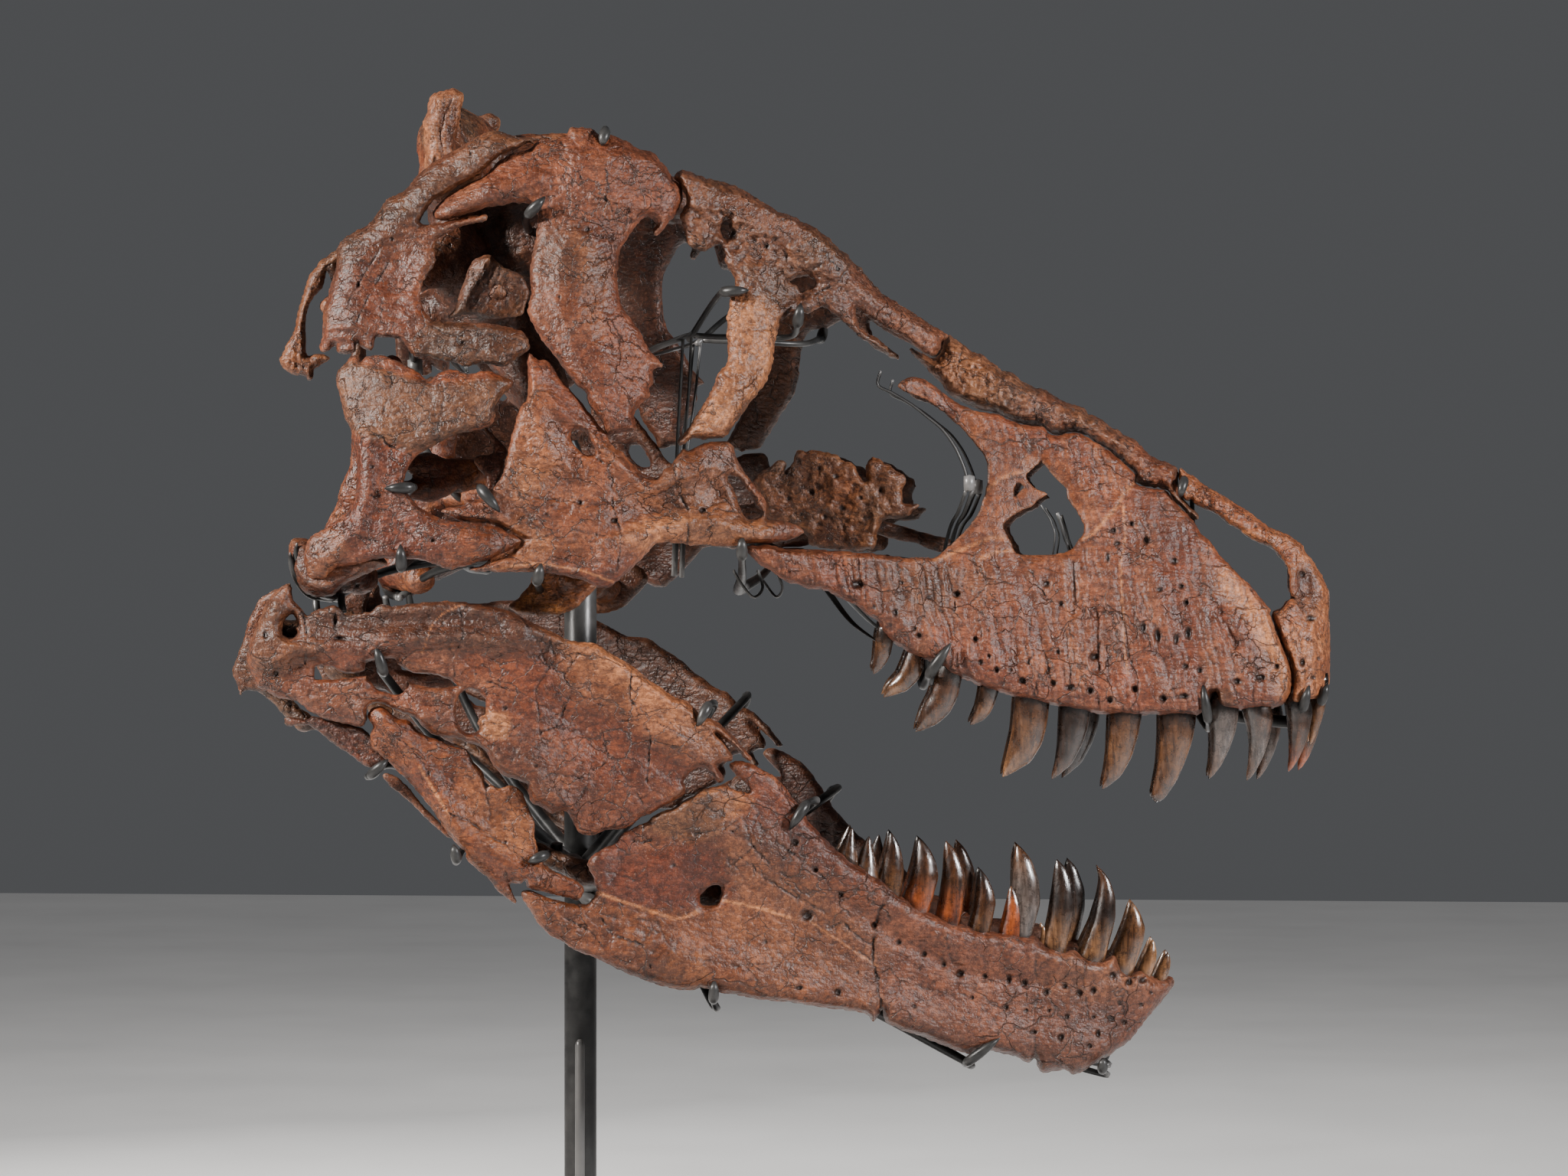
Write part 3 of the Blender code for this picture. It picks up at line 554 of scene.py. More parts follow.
def steel_matter():
    """Blackened steel, a little worn at its edges and dusty."""
    made, tree, shader, coords = new_matter("stand_steel")
    wear = cloud(tree, coords, 35.0, 6.0, 0.7)
    dust = ramp(tree, cloud(tree, coords, 9.0, 5.0, 0.6), 0.5, 0.75)
    colour = tinted(tree, "MIX", ramp(tree, wear, 0.4, 0.7), (0.008, 0.008, 0.008), (0.022, 0.022, 0.021))
    colour = covered(tree, colour, dust, 0.25, (0.16, 0.15, 0.14))
    colour = covered(tree, colour, pointed(tree, 0.53, 0.60), 0.5, (0.32, 0.31, 0.30))
    tree.links.new(colour, shader.inputs["Base Color"])
    tree.links.new(ramp(tree, wear, 0.35, 0.7, 0.28, 0.46), shader.inputs["Roughness"])
    shader.inputs["Metallic"].default_value = 0.3
    shader.inputs["Specular IOR Level"].default_value = 0.3
    tree.links.new(bumped(tree, cloud(tree, coords, 500.0, 2.0, 0.5), 0.0002, 0.5), shader.inputs["Normal"])
    return made


def floor_matter():
    """A pale studio floor."""
    made, tree, shader, coords = new_matter("floor")
    tone = cloud(tree, coords, 1.3, 5.0, 0.6)
    tree.links.new(tinted(tree, "MIX", tone, (0.70, 0.69, 0.68), (0.76, 0.75, 0.74)),
        shader.inputs["Base Color"])
    tree.links.new(ramp(tree, tone, 0.3, 0.7, 0.5, 0.7), shader.inputs["Roughness"])
    return made


BONE = bone_matter((20, 1.2))
TOOTH = tooth_matter()
STEEL = steel_matter()


# ---------------------------------------------------------------- bones of the side of the head
class Bone:
    """A bone of the side of the head: an outline with holes, lifted to its place and given marks.

    half is its distance from the midline in m and thick its thickness in mm. Each is a number or a function
    of (u, v). rim is the width of its rounded edge. form is a function for its swellings and hollows in mm.
    streak is how its fibres run: their angle and how drawn out they are. The rest are strengths: rough for
    the grain, ragged for the outline, lined for wrinkles, knobbly for knobs and flaky for broken layers.
    """

    MARGIN = 6.0
    BEHIND, BEFORE = 10.0, -14.0
    MIDLINE_GAP = -0.0012

    def __init__(self, name, loop, half=head_half, thick=22.0, rim=10.0, step=2.4, holes=(), seed=1,
        rough=1.0, colour=TERRACOTTA, second=MAUVE, form=None, far_step=4.0, ragged=1.0, streak=(0, 1),
        knobbly=0.0, lined=0.55, flaky=0.7, drawn_out=1.7, folds=3, nodes=None):
        self.name, self.loop, self.holes, self.half = name, loop, holes, half
        self.thick, self.rim, self.step, self.far_step = thick, rim, step, far_step
        self.seed, self.rough, self.colour, self.second = seed, rough, colour, second
        self.form, self.ragged, self.streak, self.knobbly = form, ragged, streak, knobbly
        self.drawn_out, self.folds = drawn_out, folds
        self.lined, self.flaky, self.nodes = lined, flaky, nodes or (name + "_right", name + "_left")
        self.matter = bone_matter(streak)
        # Pits are (u, v, radius along u, radius along v, depth), cracks are (line, width, depth), seams are
        # (line, width) and patches are (outline, colour, strength, width of the edge, smoothness).
        self.pits, self.cracks, self.seams, self.patches = [], [], [], []

    def outline_distance(self, u, v):
        """Distance to the outline and the holes, negative inside the bone."""
        shaken = []
        for place, seed in ((u, self.seed + 70), (v, self.seed + 80)):
            place = place + 1.3 * self.ragged * grain(u, v, seed, 14, 2)
            shaken.append(place + 0.7 * self.ragged * grain(u, v, seed + 2, 5, 2))
        d = inside_distance(*shaken, rounded(self.loop))
        for hole in self.holes:
            d = np.maximum(d, -inside_distance(*shaken, rounded(hole)))
        return d

    def grained(self, u, v):
        """Height of bare bone in mm, and a mask of painted shade in its wrinkle valleys, knob hollows and
        veins.
        """
        tilt, stretch = self.streak
        height = 2.6 * grain(u, v, self.seed, 90, 2)
        height = height + self.rough * 0.55 * grain(u, v, self.seed + 5, 30, 2, tilt, stretch)
        for layer in (-0.14, 0.16):
            flake = grain(u, v, self.seed + 21, 64, 4, tilt, 1.3) - layer
            height = height + self.flaky * (np.clip(flake / 0.02, 0, 1) - 0.5)
        wave = (u + 5 * noise(u / 34.0, v / 34.0, self.seed + 8),
            v + 5 * noise(u / 34.0, v / 34.0, self.seed + 9))
        wrinkle = grain(*wave, self.seed + 11, 10, self.folds, tilt, stretch * self.drawn_out, ridged=True)
        height = height + self.lined * wrinkle
        # Painted shade in the wrinkle valleys; below, painted shade in knob hollows and veins too.
        hollow_shade = np.clip(-0.55 * wrinkle - 0.10, 0, 0.8) * min(self.lined / 2.6, 1.0)
        if self.knobbly:
            knob = grain(*wave, self.seed + 15, 8.5, 3, ridged=True)
            height = height + self.knobbly * knob
            hollow_shade = np.maximum(hollow_shade, np.clip(-0.55 * knob - 0.02, 0, 1))
        vein = np.abs(grain(*wave, self.seed + 18, 58, 4)) / 0.014
        split = np.clip(1 - vein, 0, 1) * np.clip(2.5 * grain(u, v, self.seed + 19, 90, 1) + 0.2, 0, 1)
        return height - 1.6 * split, np.maximum(hollow_shade, 0.6 * split)

    def marks(self, u, v):
        """Height of the outer face in mm, and masks: painted shade in hollows, pits and cracks, pale seams
        and smooth filler.
        """
        height, hollow_shade = self.grained(u, v)
        seam, fill = np.zeros_like(height), np.zeros_like(height)
        for loop, _, _, edge, smoothness in self.patches:
            fill = np.maximum(fill, smoothness * soft(inside_distance(u, v, rounded(loop, 3)), edge))
        height = height * (1 - 0.8 * fill)
        hollow_shade = hollow_shade * (1 - 0.8 * fill)
        if self.form:
            height = height + 1.5 * self.form(u, v)
        for u0, v0, ru, rv, deep in self.pits:
            d = np.hypot((u - u0) / ru, (v - v0) / rv)
            dent = np.clip(1.25 - d, 0, 1)
            height = height - deep * dent * dent * (3 - 2 * dent)
            # Painted shade in each pit, darker as it deepens.
            hollow_shade = np.maximum(hollow_shade, np.clip(1.5 - 1.1 * d, 0, 1) * min(1.0, deep / 5))
        wobble = 1.6 * noise(u / 7.0, v / 7.0, self.seed + 31)
        broken = np.clip(0.75 + 1.6 * grain(u, v, self.seed + 35, 26, 2), 0, 1)
        for points, width, deep in self.cracks:
            d = line_distance(u + wobble, v - wobble, points)
            height = height - 0.75 * deep * broken * np.clip(1.4 - d / (0.62 * width), 0, 1)
            # Painted shade in each crack, darker as it deepens.
            dark = broken * np.clip(1.5 - d / (0.46 * width), 0, 1) * min(1.0, 0.22 * deep)
            hollow_shade = np.maximum(hollow_shade, dark)
        aside = 1.2 * noise(u / 9.0, v / 9.0, self.seed + 33)
        for points, width in self.seams:
            d = line_distance(u + aside, v, points)
            seam = np.maximum(seam, np.clip(1.3 - d / width, 0, 1))
        return height, hollow_shade, seam, fill

    def colours(self, u, v, hollow_shade, seam):
        """The colour of each point, with painted shade in its hollows, pits and cracks."""
        out = blended(self.colour, self.second, np.clip(0.5 + 0.9 * grain(u, v, self.seed + 40, 90, 4), 0, 1))
        pale = np.clip(grain(u, v, self.seed + 47, 34, 4, *self.streak) * 1.4, 0, 1)
        red = np.clip(-grain(u, v, self.seed + 53, 46, 4) * 1.3 - 0.1, 0, 1)
        out = mixed(mixed(out, CREAM, 0.30 * pale), RUST, 0.40 * red)
        shaky = 3 * noise(u / 11, v / 11, self.seed + 3)
        for loop, colour, strength, edge, _ in self.patches:
            out = mixed(out, colour, strength * soft(inside_distance(u, v, rounded(loop, 3)) + shaky, edge))
        out = mixed(out, CREAM, 0.85 * seam)
        # Hollows, pits and cracks get their painted shade here.
        return mixed(out, DARK, 0.93 * np.clip(hollow_shade, 0, 1))

    def slab(self, step):
        """The bone's surface as quads and points (u, v, depth behind the drawn face in mm)."""
        loop = np.array(self.loop, float)
        low, high = loop.min(0) - self.MARGIN, loop.max(0) + self.MARGIN
        us, vs = (np.arange(low[n], high[n] + step, step, dtype=np.float32) for n in range(2))
        u, v = np.meshgrid(us, vs, indexing="ij")
        inside = -self.outline_distance(u, v)
        height, _, _, _ = self.marks(u, v)
        thick = level(self.thick, u, v)
        back = 1.6 * grain(u, v, self.seed + 60, 30, 3) + 1.0 * grain(u, v, self.seed + 66, 11, 2)
        ease = np.sqrt(np.clip(1 - (1 - np.clip(inside / self.rim, 0, 1)) ** 2, 0, 1))
        height = height * np.clip(inside / 4.0, 0, 1)
        middle = (thick + back - height) / 2
        half = np.maximum((thick + back + height) / 2, 1.2) * ease
        depths = np.arange(self.BEFORE, float(np.max(thick)) + self.BEHIND, step, dtype=np.float32)
        off = np.abs(depths[None, None, :] - middle[..., None])
        inside = inside[..., None]
        field = np.where(inside > 0, off - half[..., None], np.hypot(inside, off))
        return field_mesh(field, (low[0], low[1], depths[0]), step)

    def build(self, step):
        """The right side's bone: world points, quads, colours and relief masks."""
        points, quads = self.slab(step)
        u, v, depth = points.T
        _, hollow_shade, seam, fill = self.marks(u, v)
        front = np.clip(level(self.thick, u, v) * 0.6 - depth, 0, 6) / 6
        hollow_shade, seam, fill = hollow_shade * front, seam * front, fill * front
        # Painted shade: faces turned away from the outer face are mixed toward darker umber.
        paint = mixed(self.colours(u, v, hollow_shade, seam), UMBER, 0.8 * (1 - front))
        y = np.minimum(-level(self.half, u, v) + depth / MM, self.MIDLINE_GAP)
        verts = np.stack(lift(u, v, y), 1)
        quads = outward(verts, quads)
        shift = solid_grain(points, self.seed + 90, 7.0, 2) * 0.45 * self.rough
        shift = (shift * np.where(y < self.MIDLINE_GAP, 1.0, 0.0))[:, None] / MM
        verts = verts + vertex_normals(verts, quads) * shift
        relief = np.stack((hollow_shade, fill, np.full(len(verts), min(self.rough, 2.0) / 2)), 1)
        return verts, quads, paint, relief

    def make(self):
        """Both sides' pieces. The far side is coarser."""
        for marks in (self.cracks, self.seams, self.patches):
            marks[:] = [(trail(line), *rest) for line, *rest in marks]
        for side, node_name, step in zip(("right", "left"), self.nodes, (self.step, self.far_step)):
            verts, quads, paint, relief = self.build(step)
            if side == "left":
                verts, quads = mirror(verts, quads)
            mesh_piece(f"{self.name}_{side}_fossil", verts, quads, (node_name,), "fossil_bone", self.matter,
                       paint, relief)


# ---------------------------------------------------------------- upper jaw
MAXILLA = trail(
    "975,713 1005,712 1025,717 1075,719 1120,722 1140,723 1175,728 1210,728 1223,727 1253,701 1275,675 "
    "1284,654 1290,627 1288,601 1266,571 1240,545 1210,523 1173,506 1188,493 1210,497 1240,519 1271,536 "
    "1300,540 1319,549 1338,555 1361,557 1376,569 1405,565 1428,576 1450,590 1466,604 1482,619 1483,632 "
    "1504,638 1523,641 1536,657 1558,680 1566,694 1574,702 1584,712 1596,728 1610,742 1624,757 1636,768 "
    "1644,778 1652,788 1660,797 1659,802 1667,826 1676,848 1684,864 1687,884 1686,903 1680,914 1673,921 "
    "1661,924 1646,925 1627,926 1610,926 1599,924 1591,917 1588,904 1580,908 1576,925 1565,933 1552,934 "
    "1533,934 1495,933 1476,934 1457,932 1438,932 1419,929 1400,926 1384,922 1365,919 1346,915 1327,910 "
    "1312,905 1299,902 1280,895 1267,889 1252,883 1240,878 1231,869 1214,863 1204,860 1191,854 1180,847 "
    "1166,839 1153,824 1147,811 1134,803 1125,796 1115,788 1100,782 1080,772 1055,768 1040,762 1025,758 "
    "1005,743 992,737 978,723")
MAXILLA_WINDOW = trail(
    "1360,602 1364,606 1370,614 1380,626 1392,638 1395,652 1402,662 1412,678 1416,690 1414,698 1408,706 "
    "1399,718 1384,723 1365,725 1346,725 1331,724 1324,718 1321,708 1310,688 1320,676 1336,666 1350,660 "
    "1354,654 1368,645 1356,640 1346,632 1341,624 1342,618 1356,606")
MAXILLA_PORE = trail("1329,630 1337,636 1334,640 1325,649 1324,642")
MAXILLA_FOSSA = (
    "1225,735 1290,712 1330,738 1400,735 1428,700 1420,650 1385,600 1340,580 1290,560 1240,540 1180,500 "
    "1290,600")


def maxilla_form(u, v):
    low = np.interp(u, STATIONS, CHEEK_V)
    rows = 5.0 * np.exp(-(((low - v - 26) / 26.0) ** 2))
    fossa = -3.4 * patch(u, v, MAXILLA_FOSSA, 26)
    swell = (lump(u, v, 1500, 770, 90, 120, 7) + lump(u, v, 1590, 830, 70, 60, 6)
             + lump(u, v, 1300, 810, 110, 50, 4))
    grooves = 2.6 * noise((u - 0.25 * (v - 800)) / 21.0, v / 150.0, 401) * np.clip((v - 720) / 60, 0, 1)
    cuts = ridge(u, v, "1432,800 1434,875", 6, -5) + ridge(u, v, "1403,738 1402,800", 6, -4)
    cuts = cuts + ridge(u, v, "1592,800 1601,820 1612,840", 7, -5.5) + ridge(u, v, "1490,700 1520,740", 7, -3)
    brush = 1.4 * noise(u / 3.2, v / 40.0, 402) * np.clip(1 - (low - v) / 16.0, 0, 1)
    return rows + fossa + swell + grooves + cuts + brush


def maxilla_thick(u, v):
    low = np.interp(u, STATIONS, CHEEK_V)
    return 17.0 + 27.0 * np.clip(1 - (low - v) / 130.0, 0, 1)


maxilla = Bone("maxilla", MAXILLA, holes=(MAXILLA_WINDOW, MAXILLA_PORE), thick=maxilla_thick, rim=9,
               step=2.3, seed=101, rough=1.25, colour=TERRACOTTA, second=MAUVE, form=maxilla_form,
               streak=(80, 3.4), lined=2.7, drawn_out=2.7, folds=2)
maxilla.pits = [
    (1120, 763, 10, 6, 7), (1170, 800, 4, 6, 5), (1200, 830, 4, 4, 5), (1194, 821, 3, 3, 4),
    (1213, 780, 4, 4, 5), (1142, 793, 3, 3, 4), (1178, 761, 3, 3, 4), (1274, 835, 4, 4, 6),
    (1281, 865, 4, 4, 6), (1292, 857, 3, 3, 4), (1302, 875, 4, 4, 6), (1320, 875, 3, 3, 4),
    (1335, 889, 6, 5, 7), (1376, 892, 5, 5, 7), (1398, 898, 6, 5, 7), (1424, 902, 5, 5, 7),
    (1450, 914, 5, 5, 6), (1482, 900, 5, 5, 7), (1519, 912, 6, 5, 7), (1547, 909, 7, 4, 6),
    (1616, 890, 5, 5, 6), (1646, 885, 7, 4, 6), (1668, 871, 4, 4, 5), (1382, 851, 3, 3, 4),
    (1386, 789, 4, 4, 5), (1367, 763, 5, 5, 6), (1428, 858, 6, 6, 7), (1498, 706, 5, 5, 6),
    (1478, 684, 4, 4, 5), (1534, 733, 5, 5, 6), (1455, 693, 4, 4, 5), (1460, 710, 4, 4, 5),
    (1549, 787, 4, 4, 5), (1543, 766, 4, 4, 5), (1515, 770, 4, 4, 5), (1548, 870, 4, 4, 5),
    (1567, 876, 4, 4, 5), (1250, 776, 6, 5, 8), (1552, 827, 5, 9, 6), (1536, 835, 4, 8, 6),
    (1512, 830, 5, 10, 6), (1493, 820, 4, 8, 5), (1447, 728, 3, 7, 5)]
maxilla.cracks = [
    ("1229,733 1238,742 1240,757 1244,765 1243,773 1249,780 1247,795 1244,808 1246,812 1244,825 1239,835 "
     "1242,860 1240,877", 2.4, 4),
    ("1333,727 1341,738 1349,750 1355,762 1366,778", 2.0, 3.5),
    ("1350,780 1347,800 1344,830 1349,833 1346,840 1350,855 1342,865 1357,880 1354,896 1350,905 1355,917",
     2.0, 3.5),
    ("1358,890 1371,873", 3.0, 4),
    ("1456,885 1470,900 1474,920 1473,934", 1.8, 3),
    ("1410,542 1404,552 1402,562", 1.6, 3),
    ("1484,628 1468,644 1460,660 1452,672", 1.5, 2.5),
    ("1290,770 1284,800 1292,826", 1.4, 2),
    ("1572,700 1560,730 1566,760", 1.4, 2),
    ("1630,780 1618,810 1622,850", 1.5, 2.5),
    ("1500,850 1520,862 1545,850", 1.4, 2),
]
maxilla.seams = [
    ("1289,640 1306,626 1320,620 1342,616", 2.6),
    ("1221,732 1233,728 1240,723 1261,716 1280,708 1293,702 1312,701", 2.8),
    ("1280,730 1301,721 1324,719", 2.4),
    ("1414,704 1430,695 1444,678 1460,660 1468,644 1484,628", 2.4),
    ("1467,660 1470,700 1463,740 1467,800 1468,840 1473,880", 1.6),
]
maxilla.patches = [
    (MAXILLA_FOSSA, OCHRE, 0.6, 22, 0.95),
    ("1600,745 1640,790 1664,826 1686,884 1684,912 1668,905 1655,860 1630,810 1590,770",
     CREAM, 0.85, 20, 0.3),
    ("1335,598 1355,598 1357,612 1340,616", FILLER, 0.9, 6, 0.9),
    ("1586,902 1610,902 1608,926 1588,922", DRAB, 0.8, 6, 0.0),
    ("1130,730 1240,735 1235,800 1160,800", DRAB, 0.5, 40, 0.2),
    ("1360,740 1450,740 1450,860 1370,860", CREAM, 0.08, 50, 0.0),
    ("1480,640 1560,690 1560,760 1480,760", RUST, 0.35, 50, 0.0),
    ("1250,850 1480,905 1680,900 1680,925 1480,934 1250,885", RUST, 0.35, 30, 0.0),
]
maxilla.make()

PREMAXILLA = trail(
    "1540,613 1550,618 1560,623 1568,630 1580,638 1600,649 1612,657 1630,668 1650,683 1660,690 1680,698 "
    "1690,704 1700,711 1706,722 1714,732 1720,742 1727,753 1732,766 1735,774 1735,800 1737,839 1737,871 "
    "1736,893 1727,909 1708,914 1696,920 1688,914 1690,896 1690,884 1687,864 1679,847 1670,825 1663,803 "
    "1664,799 1668,798 1680,790 1684,784 1692,781 1686,775 1684,746 1680,736 1672,726 1664,718 1656,712 "
    "1630,700 1616,689 1606,684 1597,676 1584,667 1562,658 1556,652 1546,650")


def premaxilla_form(u, v):
    return (lump(u, v, 1712, 850, 26, 40, 5) + lump(u, v, 1703, 768, 14, 26, -7)
            + 2.0 * noise(u / 9.0, v / 30.0, 411))


premaxilla = Bone("premaxilla", PREMAXILLA, thick=34, rim=9, step=1.9, seed=111, rough=1.1, colour=CREAM,
                  second=TERRACOTTA, form=premaxilla_form, streak=(80, 1.8))
premaxilla.pits = [
    (1712, 808, 7, 5, 6), (1701, 865, 4, 6, 5), (1668, 828, 6, 9, 7), (1700, 750, 5, 5, 4),
    (1722, 860, 3, 3, 4), (1715, 885, 4, 3, 4), (1708, 835, 3, 3, 3), (1640, 688, 3, 3, 3)]
premaxilla.cracks = [
    ("1722,780 1735,790", 1.6, 3),
    ("1600,655 1612,672 1610,682", 1.5, 2.5),
    ("1700,880 1712,872 1734,878", 1.5, 2.5),
]
premaxilla.patches = [
    ("1690,745 1716,742 1720,795 1694,800", UMBER, 0.75, 14, 0.0),
    ("1540,613 1600,649 1650,683 1640,695 1580,662", TERRACOTTA, 0.5, 12, 0.0),
]
premaxilla.make()


def nasal_half(u, v):
    return np.interp(v - 437 - 0.55 * (u - 1240), (-20, 20, 80), (0.030, 0.055, 0.066))


NASAL = trail(
    "1240,437 1246,443 1258,450 1270,460 1284,463 1290,470 1300,477 1310,485 1322,487 1330,495 1340,501 "
    "1352,506 1366,510 1378,519 1392,525 1410,532 1416,533 1422,540 1432,545 1440,551 1450,558 1458,562 "
    "1470,568 1484,577 1492,586 1508,599 1520,603 1530,607 1538,613 1537,628 1542,645 1550,658 1564,673 "
    "1561,679 1545,663 1536,654 1523,638 1504,635 1485,629 1483,617 1466,601 1450,587 1428,573 1405,562 "
    "1376,565 1361,554 1338,552 1319,546 1303,537 1290,534 1276,531 1262,526 1252,521 1240,515 1232,503 "
    "1220,492 1210,480 1200,470 1190,460 1193,456 1219,468 1231,458 1233,447")


def nasal_form(u, v):
    crest = np.interp(u, [1240, 1290, 1352, 1416, 1484, 1538], [437, 470, 506, 533, 577, 613])
    return (3.0 * noise(u / 13.0, v / 15.0, 421) * np.clip(1 - (v - crest) / 42.0, 0, 1)
            + 1.4 * noise(u / 6.0, v / 7.0, 422))


nasal = Bone("nasal", NASAL, half=nasal_half, thick=56, rim=14, step=1.9, seed=121, rough=1.7, colour=DRAB,
             second=MAUVE, form=nasal_form, streak=(32, 1.6), ragged=1.6, knobbly=1.5, lined=1.0)
nasal.cracks = [
    ("1410,534 1405,548 1402,560", 2.0, 4),
    ("1300,480 1306,500 1300,536", 1.7, 3),
    ("1356,508 1350,530 1356,552", 1.6, 3),
    ("1258,452 1250,480 1262,520", 1.6, 3),
]
nasal.patches = [
    ("1230,445 1300,480 1300,530 1210,475", CREAM, 0.4, 30, 0.0),
    ("1480,580 1538,615 1540,650 1490,630", TERRACOTTA, 0.5, 20, 0.0),
]
nasal.make()

# ---------------------------------------------------------------- cheek and roof of the skull
LACRIMAL = trail(
    "880,232 886,225 895,223 905,226 918,231 930,235 945,238 965,245 975,250 985,257 1000,266 1012,274 "
    "1025,279 1038,284 1045,290 1055,291 1065,298 1080,310 1098,327 1108,334 1112,340 1120,351 1130,360 "
    "1140,373 1150,383 1170,394 1180,401 1205,417 1220,427 1238,438 1229,446 1228,456 1218,465 1207,461 "
    "1200,455 1180,440 1160,430 1140,418 1122,405 1118,404 1118,412 1124,428 1142,440 1158,452 1157,459 "
    "1140,450 1120,437 1098,417 1078,402 1068,402 1058,408 1048,409 1035,410 1025,416 1018,424 1015,436 "
    "1012,450 1010,465 1008,479 1003,492 1000,500 986,518 970,540 955,560 945,570 925,574 905,572 890,583 "
    "885,577 893,568 900,558 908,545 918,530 925,518 932,505 937,490 942,482 950,474 952,465 951,450 "
    "949,440 950,425 951,410 955,388 960,370 957,358 950,348 945,330 940,320 930,322 920,328 910,324 "
    "900,320 894,302 888,283 894,272 897,262 894,250 886,238")
LACRIMAL_HOLES = (
    trail("947,287 953,295 955,305 950,312 943,308 941,298"),
    trail("1030,368 1040,363 1055,361 1064,367 1064,374 1055,377 1045,382 1040,374"),
)


def lacrimal_form(u, v):
    swell = (ridge(u, v, "905,250 960,268 1030,300 1090,345", 24, 12)
             + ridge(u, v, "985,360 985,440 960,520 920,560", 17, 7))
    knobs = (3.4 * noise(u / 12.0, v / 11.0, 431)
             * patch(u, v, "885,225 1050,285 1115,345 1060,380 940,325 890,290", 30))
    spread = ridge(u, v, "1110,370 1170,410 1225,445", 10, 5)
    return swell + knobs + spread + lump(u, v, 1040, 385, 26, 14, -5)


lacrimal = Bone("lacrimal", LACRIMAL, holes=LACRIMAL_HOLES, thick=30, rim=13, step=2.0, seed=131, rough=1.9,
                colour=DRAB, second=MAUVE, form=lacrimal_form, ragged=1.5, streak=(40, 1.4), knobbly=1.5,
                lined=1.3)
lacrimal.pits = [(958, 306, 5, 7, 5), (1002, 322, 4, 5, 4)]
lacrimal.cracks = [
    ("1110,345 1096,368 1066,384", 2.6, 5),
    ("1079,318 1080,335 1095,352", 2.4, 5),
    ("962,540 940,530 925,545", 1.4, 2),
]
lacrimal.patches = [
    ("890,228 985,258 1000,300 900,300", MAUVE, 0.4, 40, 0.0),
    ("950,400 1014,400 1002,500 930,566 895,572 940,500", CREAM, 0.55, 16, 0.0),
    ("1120,352 1240,440 1220,465 1120,405", MAUVE, 0.4, 20, 0.0),
]
lacrimal.make()

POSTORBITAL = trail(
    "566,278 575,265 582,258 600,246 620,236 636,228 650,212 665,203 680,198 692,195 700,187 710,182 "
    "722,183 732,181 740,178 744,168 760,167 772,168 790,182 795,176 805,179 815,183 830,191 840,197 "
    "850,198 858,204 866,214 874,225 880,235 886,240 890,250 891,262 886,273 882,280 874,290 866,300 "
    "857,308 853,302 858,292 848,283 838,288 828,298 818,312 812,322 808,335 806,350 806,365 808,385 "
    "812,400 820,412 830,425 838,437 844,450 852,462 860,470 866,479 855,482 852,490 853,500 846,507 "
    "848,517 840,525 830,535 828,545 829,562 812,564 797,568 790,562 787,552 775,536 768,524 764,512 "
    "752,502 740,485 730,472 722,461 714,452 706,440 698,428 692,415 689,405 691,395 694,382 692,355 "
    "697,325 701,305 703,290 700,275 690,266 672,265 655,268 640,270 600,282 575,288")


def postorbital_form(u, v):
    boss = lump(u, v, 835, 240, 48, 34, 17) + lump(u, v, 770, 225, 60, 40, 9)
    knobs = ((1.0 * noise(u / 13.0, v / 12.0, 441) + 0.9 * noise(u / 5.0, v / 5.0, 445))
             * patch(u, v, "740,170 890,245 850,300 760,330 700,290", 40))
    orbit = line_distance(u, v, trail("866,296 820,318 792,350 780,400 800,450 850,520"))
    arcs = (1.3 * noise(orbit / 42.0, (v + 0.4 * u) / 6.5, 442)
            * patch(u, v, "735,280 812,290 800,400 812,450 770,450 745,360", 16))
    bar = (ridge(u, v, "752,320 742,400 772,470 810,540", 34, 11)
           + ridge(u, v, "590,276 640,246 700,232", 17, 8))
    return boss + knobs + arcs + bar


postorbital = Bone("postorbital", POSTORBITAL, thick=30, rim=13, step=2.0, seed=141, rough=1.2,
                   colour=MAUVE, second=TERRACOTTA, form=postorbital_form, ragged=1.3, streak=(60, 1.8),
                   knobbly=0.45)
postorbital.pits = [(731, 388, 3, 3, 3), (768, 300, 3, 4, 4), (798, 452, 3, 3, 3)]
postorbital.cracks = [
    ("791,180 792,200 791,215 793,230 795,245 790,258 800,275", 2.6, 5),
    ("733,185 737,195 732,205 755,225 760,235", 2.2, 4.5),
    ("716,455 760,450 800,462 850,468", 1.4, 2),
    ("640,235 650,262", 1.4, 2),
]
postorbital.patches = [
    ("798,200 880,245 888,270 850,300 810,280", RUST, 0.3, 20, 0.0),
    ("700,300 770,310 780,400 760,450 700,410", DRAB, 0.75, 24, 0.0),
    ("745,300 790,340 790,440 770,440 760,350", CREAM, 0.5, 14, 0.0),
    ("700,190 790,180 800,280 720,300", TERRACOTTA, 0.2, 40, 0.0),
    ("690,380 800,380 860,480 800,560 740,480", TERRACOTTA, 0.5, 40, 0.0),
    ("560,160 900,160 900,580 560,580", MAUVE, 0.4, 4, 0.0),
]
postorbital.make()

